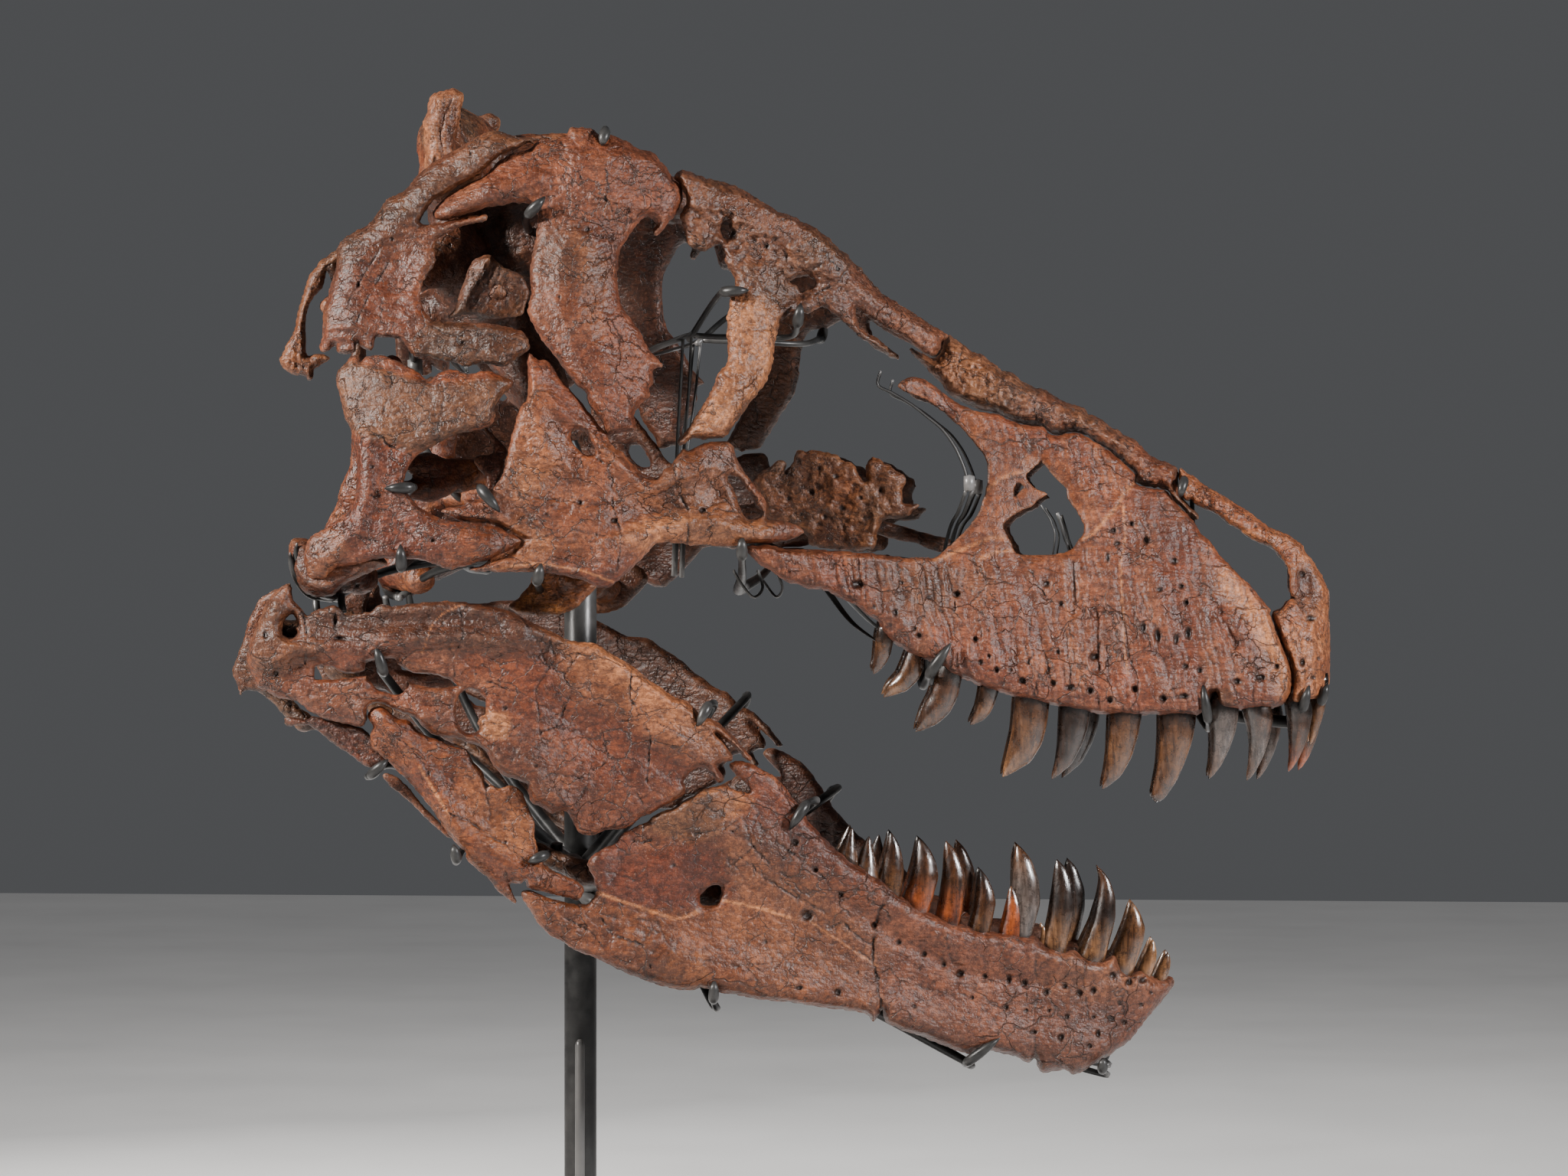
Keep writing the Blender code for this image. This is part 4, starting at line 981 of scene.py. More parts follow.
SQUAMOSAL = trail(
    "697,188 694,180 680,180 665,176 650,171 640,172 628,177 610,187 590,198 575,207 560,216 548,227 "
    "540,236 530,247 515,256 505,262 497,272 492,281 480,295 468,301 455,308 445,316 440,328 440,345 "
    "436,360 431,376 427,392 423,405 422,425 421,440 417,455 421,460 429,458 438,451 442,461 455,462 "
    "464,459 466,448 475,455 486,457 490,442 500,440 512,441 525,445 533,455 541,464 550,466 560,464 "
    "575,470 590,472 600,476 612,479 622,475 640,475 650,478 660,478 670,472 680,464 690,457 692,450 "
    "689,442 682,433 672,430 660,427 640,423 600,421 567,420 560,413 553,404 549,395 548,388 549,378 "
    "552,370 558,358 566,348 569,340 568,332 566,320 578,308 590,301 605,295 620,291 634,288 634,280 "
    "600,285 575,291 560,294 548,290 553,281 558,272 568,260 580,254 600,242 625,228 634,220 646,208 "
    "660,200 675,194 682,190 690,186")


def squamosal_form(u, v):
    top = ridge(u, v, "690,186 640,195 580,228 520,280 465,340 440,420", 26, 7)
    sag = lump(u, v, 520, 360, 34, 44, -7) + lump(u, v, 470, 420, 20, 20, 4)
    knobs = 1.2 * noise(u / 34.0, v / 12.0, 451)
    return top + sag + knobs


squamosal = Bone("squamosal", SQUAMOSAL, thick=26, rim=12, step=2.0, seed=151, rough=1.5, colour=TERRACOTTA,
                 second=DRAB, form=squamosal_form, ragged=1.3, streak=(135, 1.6))
squamosal.pits = [(512, 312, 3, 3, 4), (468, 372, 3, 4, 4), (604, 448, 5, 3, 4)]
squamosal.cracks = [
    ("500,270 500,320 480,350 455,395", 2.2, 4),
    ("508,342 480,390 466,420", 2.0, 4),
    ("560,425 590,440 640,436 684,446", 1.6, 3),
    ("548,232 556,262", 1.8, 3.5),
    ("612,190 618,225", 1.6, 3),
]
squamosal.patches = [
    ("560,420 690,436 690,460 660,478 560,470", DRAB, 0.7, 10, 0.0),
    ("695,182 630,175 545,228 490,280 440,320 470,330 560,280 640,215", DRAB, 0.75, 40, 0.0),
    ("470,330 550,330 550,440 430,450", RUST, 0.5, 30, 0.0),
    ("480,300 560,300 552,390 560,420 470,430", TERRACOTTA, 0.35, 20, 0.0),
    ("420,160 720,160 720,480 400,480", UMBER, 0.30, 4, 0.0),
]
squamosal.make()

JUGAL = trail(
    "691,462 703,470 712,470 720,477 733,497 750,515 770,540 788,563 795,575 803,585 812,590 820,600 "
    "830,610 840,619 850,623 858,624 863,620 868,613 876,610 882,598 888,590 893,586 901,588 918,580 "
    "935,577 948,577 956,582 962,598 970,613 980,627 990,640 1000,655 1001,676 1010,679 1025,681 1040,686 "
    "1051,695 1040,701 1030,705 1015,709 1000,709 972,710 960,713 940,713 915,711 903,713 885,709 858,710 "
    "845,722 830,738 810,755 794,768 778,765 759,757 732,751 705,747 665,747 625,746 612,743 632,738 "
    "640,722 640,704 622,690 600,680 575,667 606,660 606,654 625,652 640,643 652,628 657,618 661,605 "
    "667,575 675,545 680,530 688,522 690,505 689,475")
JUGAL_HOLES = (
    trail("745,567 750,562 758,561 765,565 772,575 777,585 776,594 768,595 760,591 752,584 746,576"),
    trail("950,623 960,622 968,628 975,640 983,650 988,662 995,670 990,677 975,678 965,660 960,645"),
)


def jugal_form(u, v):
    rim = ridge(u, v, "694,490 706,560 720,600", 22, 9) + ridge(u, v, "716,520 790,590 845,640 905,615", 9, 6)
    rim = (rim + ridge(u, v, "800,715 860,690 920,680 1000,700", 17, 9)
           + ridge(u, v, "560,744 660,735 730,752", 16, 5))
    rim = (rim + lump(u, v, 800, 742, 26, 22, 9) + lump(u, v, 902, 610, 34, 22, 7)
           - lump(u, v, 858, 668, 34, 16, 7) - lump(u, v, 930, 640, 16, 20, 5))
    rim = rim - 6.5 * patch(u, v, "600,676 648,680 692,704 672,724 640,738 600,742", 6)
    return (rim + 0.8 * noise(u / 30.0, v / 26.0, 461) + lump(u, v, 770, 690, 56, 36, 6)
            + lump(u, v, 728, 620, 30, 40, -5))


jugal = Bone("jugal", JUGAL, holes=JUGAL_HOLES, thick=22, rim=10, step=2.0, seed=161, rough=1.15,
             colour=TERRACOTTA, second=MAUVE, form=jugal_form, streak=(20, 1.8), flaky=1.4)
jugal.pits = [(758, 657, 4, 4, 5), (802, 680, 5, 4, 5), (918, 667, 5, 4, 6)]
jugal.cracks = [
    ("691,560 720,575 745,580", 1.8, 3),
    ("776,592 800,620 800,660 812,700 806,745", 2.0, 4),
    ("662,640 700,650 758,657", 1.7, 3),
    ("880,605 884,640 900,670 898,710", 2.0, 4),
    ("960,650 930,660 918,667", 1.8, 3),
    ("700,705 740,690 790,700", 1.6, 2.5),
]
jugal.seams = [
    ("640,745 700,735 760,745 800,760", 1.8),
]
jugal.patches = [
    # Painted highlight: paler cream down the left side of the rising bar.
    ("692,500 722,530 736,600 704,650 668,640 674,560", CREAM, 0.4, 22, 0.0),
    ("704,640 790,606 834,660 790,704 700,700", RUST, 0.55, 26, 0.0),
    ("560,744 640,732 720,720 800,726 836,700 800,770 700,750", RUST, 0.75, 14, 0.0),
    # Painted highlight: paler cream along the lower bar under the orbit.
    ("806,706 860,676 1000,684 990,704 870,720", CREAM, 0.5, 14, 0.0),
    ("860,600 960,580 1000,655 1040,690 900,708", DRAB, 0.45, 30, 0.1),
    ("690,470 760,540 800,600 700,600", TERRACOTTA, 0.4, 30, 0.0),
    ("620,680 720,700 700,745 620,740", CREAM, 0.3, 20, 0.0),
    ("700,560 900,620 1000,690 800,740 660,740", CREAM, 0.16, 40, 0.0),
]
jugal.make()

QUADRATOJUGAL = trail(
    "463,463 470,472 478,466 490,464 502,465 513,469 530,477 550,490 561,498 575,486 595,483 613,489 "
    "632,484 652,490 668,497 670,503 655,518 645,533 647,542 641,556 622,562 600,566 578,576 552,590 "
    "542,598 535,607 530,618 528,630 531,640 536,650 545,660 566,673 590,681 615,683 645,687 665,695 "
    "682,706 668,717 645,729 625,735 600,741 588,744 570,738 550,732 530,730 505,729 485,731 465,737 "
    "445,740 430,748 425,755 415,757 405,756 399,742 398,725 405,702 422,692 435,683 445,675 455,667 "
    "462,657 465,645 466,630 465,600 460,575 458,560 452,548 448,535 443,512 440,500 440,488 450,475")


def quadratojugal_form(u, v):
    rim = (ridge(u, v, "478,575 478,640 466,690 424,728", 15, 8)
           + ridge(u, v, "524,640 560,690 640,708", 13, 5))
    flap = 3.4 * patch(u, v, "455,470 560,500 660,495 640,550 540,582 500,575 470,580 450,530", 10)
    return rim + flap + 0.8 * noise(u / 30.0, v / 26.0, 471) + lump(u, v, 600, 715, 60, 18, 4)


quadratojugal = Bone("quadratojugal", QUADRATOJUGAL, thick=20, rim=10, step=2.0, seed=171, rough=1.2,
                     colour=MAUVE, second=TERRACOTTA, form=quadratojugal_form, streak=(70, 1.7))
quadratojugal.pits = [(486, 610, 3, 3, 3), (566, 706, 4, 3, 4)]
quadratojugal.cracks = [
    ("471,580 478,566 490,567 500,573 508,583 520,587 536,580", 2.4, 4),
    ("505,468 512,500 500,540", 1.8, 3),
    ("466,640 490,650 525,640", 1.7, 3),
    ("470,700 500,710 520,730", 1.7, 3),
    ("575,486 580,520 572,560", 1.7, 3),
]
quadratojugal.patches = [
    ("448,470 560,500 664,495 640,550 548,590 524,586 500,578 466,570 445,530", DRAB, 0.75, 10, 0.0),
    ("466,572 500,582 528,588 536,640 548,664 580,684 640,690 684,706 640,732 560,738 480,732 450,704 "
     "464,640", RUST, 0.6, 14, 0.0),
    ("596,690 640,688 682,706 650,728 600,736 576,716", OCHRE, 0.5, 8, 0.0),
    ("400,710 440,690 452,720 430,752 402,750", CREAM, 0.35, 12, 0.0),
    ("400,710 470,690 600,700 660,710 560,730 420,750", RUST, 0.35, 20, 0.0),
]
quadratojugal.make()

NUCHAL = trail(
    "556,222 556,200 555,185 554,170 553,159 557,150 559,138 562,127 568,121 583,118 592,116 600,119 "
    "605,125 604,133 602,141 601,155 597,175 594,198 600,222 576,230")


def nuchal_form(u, v):
    return ridge(u, v, "560,215 563,170 575,130", 9, 3) - ridge(u, v, "582,210 574,180 580,150 590,130", 3, 2)


Bone("nuchal", NUCHAL, half=0.185, thick=44, rim=18, step=2.2, seed=181, rough=1.6, colour=MAUVE,
     second=CREAM, form=nuchal_form, streak=(85, 2.4), lined=2.6, nodes=("braincase", "braincase")).make()

PAROCCIPITAL = trail(
    "442,326 430,333 420,340 412,350 405,358 400,372 396,385 391,400 388,415 385,430 380,440 375,450 "
    "369,462 366,470 368,477 380,488 396,491 403,496 408,493 411,482 420,476 430,470 426,464 412,462 "
    "402,466 399,455 400,442 398,430 399,415 402,402 407,392 415,382 422,375 424,365 428,352 440,345 "
    "450,335")
Bone("paroccipital", PAROCCIPITAL, half=0.236, thick=24, rim=9, step=2.0, seed=185, rough=1.5, colour=DRAB,
     second=OCHRE, streak=(110, 2.0), lined=1.8, knobbly=1.2, nodes=("braincase", "braincase")).make()

CONDYLE = trail(
    "381,706 378,724 380,740 385,755 392,767 404,777 420,780 436,776 448,764 462,757 486,745 506,735 "
    "485,722 450,722 420,716 400,704")


def quadrate_condyle_form(u, v):
    return ridge(u, v, "384,740 400,762 430,768 470,748", 8, 4)


Bone("quadrate_condyle", CONDYLE, half=lambda u, v: head_half(u, v) - 0.010, thick=52, rim=22, step=2.2,
     seed=187, rough=1.2, colour=RUST, second=DRAB, form=quadrate_condyle_form, streak=(20, 1.5),
     nodes=("quadrate_right", "quadrate_left")).make()

FLANGE = trail("630,556 650,572 662,588 660,602 657,618 647,642 634,640 633,622 620,606 623,596 645,590")
Bone("quadrate_flange", FLANGE, half=lambda u, v: head_half(u, v) - 0.045, thick=11, rim=5, step=2.2,
     seed=188, rough=1.0, colour=MAUVE, second=RUST, streak=(70, 2.0),
     nodes=("quadrate_right", "quadrate_left")).make()

SHARD = trail(
    "615,345 625,336 640,333 645,338 660,350 680,359 691,378 689,390 686,400 680,412 665,414 640,416 "
    "612,410 585,416 593,405 597,395 602,378 608,362")


def parietal_shard_form(u, v):
    return ridge(u, v, "640,336 618,372 600,410", 8, 4) - lump(u, v, 655, 385, 18, 14, 5)


Bone("parietal_shard", SHARD, half=0.148, thick=15, rim=7, step=1.8, seed=192, rough=1.3, colour=MAUVE,
    second=DRAB, form=parietal_shard_form, streak=(110, 2.0), lined=2.2,
    nodes=("braincase", "braincase")).make()

# ---------------------------------------------------------------- lower jaw
SURANGULAR = trail(
    "376,763 380,766 381,773 382,782 387,788 395,797 401,804 408,800 416,796 430,792 436,791 443,794 "
    "448,800 453,804 462,802 478,800 486,798 492,792 500,790 515,792 530,790 550,788 570,786 600,786 "
    "614,788 630,790 646,793 660,797 670,800 715,823 747,837 778,841 794,851 826,870 838,880 846,887 "
    "858,895 866,900 880,910 894,915 900,920 909,927 913,934 926,938 940,945 950,955 960,964 970,976 "
    "982,991 974,992 960,976 946,966 936,958 946,970 954,982 957,992 949,995 937,1000 940,1008 946,1018 "
    "938,1023 931,1013 920,1003 908,1005 900,1012 892,1020 895,1028 894,1036 888,1042 870,1052 858,1058 "
    "848,1064 836,1068 822,1080 808,1083 790,1084 780,1089 770,1091 760,1089 754,1084 750,1076 742,1062 "
    "736,1058 728,1060 720,1063 708,1054 696,1050 691,1038 688,1024 674,1018 660,1014 652,1008 643,998 "
    "638,986 628,976 612,970 596,964 580,962 564,958 552,948 540,936 522,930 508,922 498,918 488,919 "
    "480,924 478,932 479,940 470,949 430,940 420,937 412,933 404,928 398,923 390,917 382,914 362,911 "
    "348,901 337,898 334,892 330,884 326,876 323,864 323,852 326,840 330,830 335,820 339,808 343,798 "
    "348,789 354,780 360,773 370,765")
FENESTRA = trail(
    "614,900 606,902 599,908 597,916 595,928 597,940 599,948 604,954 612,958 622,957 627,950 624,946 "
    "628,936 634,933 635,924 634,914 628,906 620,901")
FISSURE = trail(
    "414,870 430,870 448,878 471,878 479,866 490,862 516,860 520,868 540,878 564,881 586,887 598,896 "
    "594,897 570,899 550,896 533,890 531,898 521,908 500,903 490,898 482,888 478,882 454,886 415,888 "
    "410,880")
REAR_HOLE = trail("382,802 374,806 370,812 368,822 370,830 383,833 388,826 386,820 389,816 387,809")


def surangular_form(u, v):
    shelf = ridge(u, v, "340,850 400,850 500,838 600,830 680,838", 17, 9) - lump(u, v, 520, 812, 110, 12, 4)
    rear = lump(u, v, 350, 850, 22, 44, 6)
    top = ridge(u, v, "620,796 760,845 880,918 970,984", 12, 4)
    low = ridge(u, v, "480,935 560,940 640,985 740,1055", 14, 4)
    boss = (lump(u, v, 690, 1010, 70, 44, 8, 40) + lump(u, v, 880, 960, 80, 26, 7, 42)
            - lump(u, v, 760, 950, 60, 20, 5, 42))
    boss = (boss + lump(u, v, 360, 800, 14, 30, 6) - lump(u, v, 400, 862, 30, 12, 6)
            - lump(u, v, 452, 838, 26, 14, 4))
    return shelf + rear + top + low + boss + 1.0 * noise(u / 50.0, v / 30.0, 501)


surangular = Bone("surangular", SURANGULAR, half=jaw_half, holes=(FENESTRA, FISSURE, REAR_HOLE), thick=24,
                  rim=11, step=2.2, seed=201, rough=1.1, colour=TERRACOTTA, second=MAUVE,
                  form=surangular_form, streak=(24, 2.2), flaky=1.4)
surangular.pits = [
    (438, 811, 3, 11, 6), (445, 834, 10, 3, 6), (660, 925, 4, 3, 4), (700, 1000, 3, 3, 3),
    (360, 880, 4, 5, 5), (347, 830, 4, 6, 5)]
surangular.cracks = [
    ("635,890 680,905 740,940 800,990 840,1050", 1.8, 3),
    ("715,823 725,860 700,900 706,960", 1.9, 3.5),
    ("826,870 822,910 850,960 845,1020", 2.0, 4),
    ("520,868 540,850 600,846", 1.6, 3),
    ("600,787 606,830 590,860 596,890", 1.6, 3),
    ("690,1030 720,1010 780,1020", 1.6, 3),
    ("395,797 402,830 398,868", 1.8, 3.5),
    ("350,790 366,800 376,803", 1.5, 3),
    ("640,965 680,960 740,985", 1.5, 2.5),
    ("680,805 703,839 714,869 737,881 756,854 779,839 847,884", 1.7, 3.5),
    ("665,1002 680,968 726,949 748,903 737,884", 1.8, 3.5),
    ("726,949 786,945 847,939 908,968", 1.5, 3),
    ("786,945 794,991 764,1029 748,1059", 1.6, 3),
    ("748,903 786,922 832,919 878,945", 1.3, 2.5),
    ("543,960 566,945 589,922", 1.5, 3),
    ("627,960 657,960 680,945", 1.5, 3),
]
surangular.seams = [
    ("602,790 580,800 565,815 556,840 550,855", 0.9),
]
surangular.patches = [
    ("484,930 560,958 620,1000 600,1040 540,1010 486,960", DRAB, 0.6, 16, 0.0),
    ("608,1080 700,1110 766,1160 690,1168 620,1130", RUST, 0.6, 14, 0.0),
    ("420,796 520,782 600,786 700,806 720,850 620,846 500,830 430,820", DRAB, 0.8, 22, 0.0),
    ("480,800 600,792 660,810 560,826", UMBER, 0.35, 20, 0.0),
    # Paler cream along the upper edge: partly paler bone, partly a painted highlight.
    ("700,806 780,830 900,910 970,980 930,984 820,910 740,860", CREAM, 0.45, 20, 0.0),
    ("626,932 662,932 664,962 630,962", CREAM, 0.8, 8, 0.0),
    ("660,830 820,900 900,980 820,1060 700,960", TERRACOTTA, 0.6, 60, 0.25),
    ("330,780 420,800 420,860 330,890", DRAB, 0.6, 30, 0.0),
    ("430,795 660,800 640,850 440,850", MAUVE, 0.45, 30, 0.0),
    ("480,915 600,960 690,1030 740,1060 600,1000", OCHRE, 0.5, 24, 0.0),
    ("760,900 940,950 980,990 900,1010", RUST, 0.35, 40, 0.0),
    ("430,790 600,784 700,804 740,850 600,850 430,832", UMBER, 0.6, 26, 0.0),
    ("320,760 990,760 990,1100 320,1100", UMBER, 0.12, 4, 0.0),
    # Paler cream along the upper edge: partly paler bone, partly a painted highlight.
    ("730,840 800,850 900,930 940,990 880,985 800,930 740,900", CREAM, 0.35, 24, 0.0),
    ("634,990 700,960 770,1000 790,1075 740,1060 690,1040", UMBER, 0.3, 20, 0.0),
]
surangular.make()

ANGULAR = trail(
    "488,924 483,928 481,934 482,940 487,948 484,962 487,978 502,990 520,1008 540,1028 560,1052 578,1078 "
    "594,1100 608,1113 609,1121 624,1136 636,1146 646,1157 655,1168 672,1180 675,1178 668,1164 666,1154 "
    "680,1154 686,1151 690,1160 710,1165 740,1172 754,1176 760,1170 763,1160 752,1150 730,1141 712,1130 "
    "708,1124 700,1126 703,1114 698,1090 698,1074 690,1054 684,1042 681,1033 668,1026 654,1030 642,1025 "
    "634,1028 631,1010 617,993 608,978 590,974 577,968 559,962 545,954 536,942 519,938 506,927 498,923")


def angular_half(u, v):
    return jaw_half(u, v) - 0.004


def angular_form(u, v):
    return (0.8 * noise((u - v) / 12.0, (u + v) / 90.0, 511)
            + ridge(u, v, "500,940 560,1020 600,1085 700,1150", 16, 8) - lump(u, v, 650, 1060, 30, 30, 4))


angular = Bone("angular", ANGULAR, half=angular_half, thick=17, rim=9, step=2.0, seed=211, rough=1.3,
               colour=OCHRE, second=TERRACOTTA, form=angular_form, streak=(45, 3.0))
angular.pits = [(560, 1010, 3, 3, 3), (660, 1100, 3, 3, 3)]
angular.cracks = [
    ("586,1062 612,1072 630,1084 660,1104 690,1126", 2.2, 4),
    ("634,1028 640,1060 636,1090", 1.6, 3),
    ("500,950 540,980 560,1010", 1.5, 2.5),
]
angular.seams = [
    ("548,1002 585,1062", 2.4),
]
angular.patches = [
    ("600,1000 690,1040 700,1110 640,1100", CREAM, 0.4, 30, 0.1),
    ("560,1050 640,1145 660,1170 600,1110", DRAB, 0.5, 16, 0.0),
]
angular.make()

DENTARY = trail(
    "806,1098 812,1090 820,1085 828,1081 844,1074 860,1062 878,1056 888,1049 900,1042 912,1035 924,1030 "
    "946,1026 954,1029 970,1034 978,1034 976,1026 962,1013 952,1000 958,995 965,994 982,998 1000,1008 "
    "1008,1011 1016,1018 1024,1028 1044,1053 1053,1068 1060,1078 1070,1088 1080,1099 1092,1110 1110,1124 "
    "1128,1134 1144,1146 1156,1152 1172,1168 1188,1178 1200,1188 1212,1191 1224,1197 1240,1204 1264,1210 "
    "1280,1216 1312,1219 1330,1222 1348,1223 1358,1228 1366,1235 1378,1239 1390,1243 1400,1240 1408,1244 "
    "1420,1252 1442,1254 1456,1248 1466,1266 1476,1272 1486,1269 1496,1271 1504,1275 1514,1280 1522,1278 "
    "1531,1276 1533,1284 1532,1288 1520,1304 1510,1316 1496,1332 1486,1346 1474,1360 1460,1370 1448,1379 "
    "1430,1389 1416,1398 1402,1403 1392,1397 1380,1398 1360,1400 1352,1380 1344,1388 1328,1380 1312,1376 "
    "1290,1372 1270,1376 1250,1372 1230,1364 1210,1356 1184,1347 1170,1341 1157,1334 1154,1322 1150,1320 "
    "1141,1334 1132,1325 1110,1320 1092,1318 1056,1313 1024,1308 992,1306 976,1302 952,1297 940,1296 "
    "916,1290 904,1293 890,1293 874,1290 860,1286 846,1282 832,1276 820,1272 806,1265 792,1258 780,1252 "
    "764,1246 750,1240 736,1231 720,1222 712,1216 704,1208 698,1198 692,1190 683,1174 681,1166 685,1163 "
    "698,1165 714,1172 740,1179 766,1181 772,1176 778,1168 776,1148 770,1136 767,1129 773,1118 780,1113 "
    "790,1108 800,1103")
DENTARY_HOLE = trail(
    "938,1155 930,1156 922,1162 916,1168 914,1175 918,1182 930,1183 938,1179 942,1168 942,1159")


def dentary_form(u, v):
    top = np.interp(u, [780, 960, 1110, 1240, 1350, 1440, 1530], [1110, 1000, 1124, 1204, 1223, 1254, 1277])
    rows = 4.5 * np.exp(-(((v - top - 22) / 24.0) ** 2)) * np.clip((u - 1040) / 60, 0, 1)
    groove = ridge(u, v, "1100,1172 1174,1228 1254,1268 1340,1284 1450,1278", 10, -3)
    belly = (ridge(u, v, "830,1240 1000,1285 1200,1335 1420,1375", 34, 8)
             + ridge(u, v, "900,1060 1000,1110 1120,1180", 30, 4))
    flange = -4.0 * patch(u, v, "800,1100 960,1035 975,1060 860,1115 800,1150", 20)
    grooves = (2.2 * noise(u / 17.0, (v - top) / 100.0, 521) * np.clip(1 - (v - top) / 110.0, 0, 1)
               * np.clip((u - 1050) / 60, 0, 1))
    brush = (1.3 * noise(u / 3.4, v / 40.0, 522) * np.clip(1 - (v - top) / 14.0, 0, 1)
             * np.clip((u - 1080) / 30, 0, 1))
    low_edge = "1340,1300 1530,1285 1480,1360 1400,1403 1250,1375 850,1285 860,1262 1200,1320"
    porous = 0.6 * noise(u / 5.0, v / 5.0, 523) * patch(u, v, low_edge, 20)
    break_up = 1.8 * noise(u / 14.0, v / 12.0, 524) * patch(u, v, "700,1190 860,1180 880,1290 760,1245", 24)
    return rows + groove + belly + flange + grooves + brush + porous + break_up


def dentary_thick(u, v):
    return 27.0 + 14.0 * np.clip((u - 1050) / 200.0, 0, 1)


dentary = Bone("dentary", DENTARY, half=jaw_half, holes=(DENTARY_HOLE,), thick=dentary_thick, rim=14,
               step=2.45, seed=221, rough=1.1, colour=TERRACOTTA, second=MAUVE, form=dentary_form,
               streak=(30, 1.8))
dentary.pits = [
    (1065, 1136, 4, 4, 5), (1098, 1168, 4, 4, 5), (1141, 1208, 4, 4, 5), (1174, 1231, 4, 4, 5),
    (1207, 1246, 4, 4, 5), (1233, 1260, 4, 4, 5), (1254, 1272, 6, 5, 7), (1286, 1275, 4, 4, 5),
    (1318, 1279, 4, 7, 6), (1338, 1284, 5, 5, 6), (1367, 1296, 5, 5, 6), (1391, 1288, 4, 4, 5),
    (1410, 1297, 5, 5, 6), (1428, 1293, 5, 5, 6), (1453, 1273, 5, 5, 6), (1474, 1283, 5, 5, 6),
    (1492, 1280, 5, 5, 6), (1314, 1316, 4, 4, 5), (1270, 1303, 3, 3, 4), (1194, 1314, 3, 3, 4),
    (1350, 1348, 6, 3, 5), (1386, 1355, 5, 5, 6), (1394, 1328, 4, 4, 5), (1428, 1328, 3, 3, 5),
    (1451, 1331, 4, 4, 5), (1468, 1335, 4, 4, 5), (1423, 1366, 4, 4, 5), (1434, 1350, 3, 6, 5),
    (1044, 1290, 6, 3, 5), (1094, 1296, 5, 5, 5), (1054, 1196, 9, 8, 7), (1039, 1101, 5, 5, 5),
    (1503, 1296, 3, 3, 4), (1490, 1312, 3, 3, 4), (1462, 1310, 3, 3, 4), (1000, 1230, 3, 3, 3),
    (1120, 1270, 3, 3, 3), (880, 1130, 3, 3, 3), (1370, 1320, 3, 3, 4), (1340, 1320, 3, 3, 4)]
dentary.cracks = [
    ("1154,1182 1147,1188 1145,1204 1141,1208 1146,1220 1140,1226 1140,1248 1141,1260 1146,1276 1147,1296 "
     "1151,1308 1150,1320", 3.0, 6),
    ("980,1128 1000,1148 1020,1160 1040,1172 1060,1182 1080,1192 1084,1212 1100,1204 1120,1224 1138,1234",
     2.0, 4),
    ("990,1074 1006,1092 1020,1104 1034,1114 1050,1125 1065,1136 1098,1168", 2.0, 4),
    ("966,1080 952,1090 950,1100 960,1113 978,1128", 2.0, 3.5),
    ("810,1180 830,1200 860,1204 870,1230", 2.0, 4),
    ("780,1195 800,1220 840,1235 850,1262", 2.2, 4),
    ("740,1200 770,1215 790,1240", 1.8, 3.5),
    ("770,1136 800,1140 830,1150", 1.8, 3),
    ("826,1097 838,1101 850,1097", 3.0, 5),
    ("1240,1204 1236,1230 1245,1262", 1.6, 3),
    ("1358,1228 1352,1262 1356,1290 1350,1340 1354,1380", 1.8, 3.5),
    ("1420,1252 1414,1280 1422,1330 1416,1396", 1.6, 3),
    ("900,1250 960,1262 1020,1256 1090,1270", 1.5, 2.5),
    ("1200,1290 1260,1300 1300,1330 1310,1372", 1.5, 2.5),
    ("832,1082 878,1067 908,1090 946,1082 976,1097 992,1059 969,1036", 1.7, 3.5),
    ("946,1074 954,1120 984,1166", 1.5, 3),
    ("976,1097 1014,1135 1060,1166", 1.6, 3),
    ("944,1084 970,1066 984,1106 953,1132 944,1084", 1.5, 3),
    ("984,1106 1032,1158 1076,1207 1138,1255", 1.6, 3),
    ("1067,1202 1076,1255 1085,1273", 1.5, 2.5),
    ("786,1194 821,1202 865,1220", 1.5, 3),
]
dentary.seams = [
    ("780,1166 820,1180 880,1200 900,1196 912,1190", 2.6),
    ("940,1175 1000,1188 1040,1202", 2.4),
    ("1060,1205 1120,1245 1146,1262", 1.6),
]
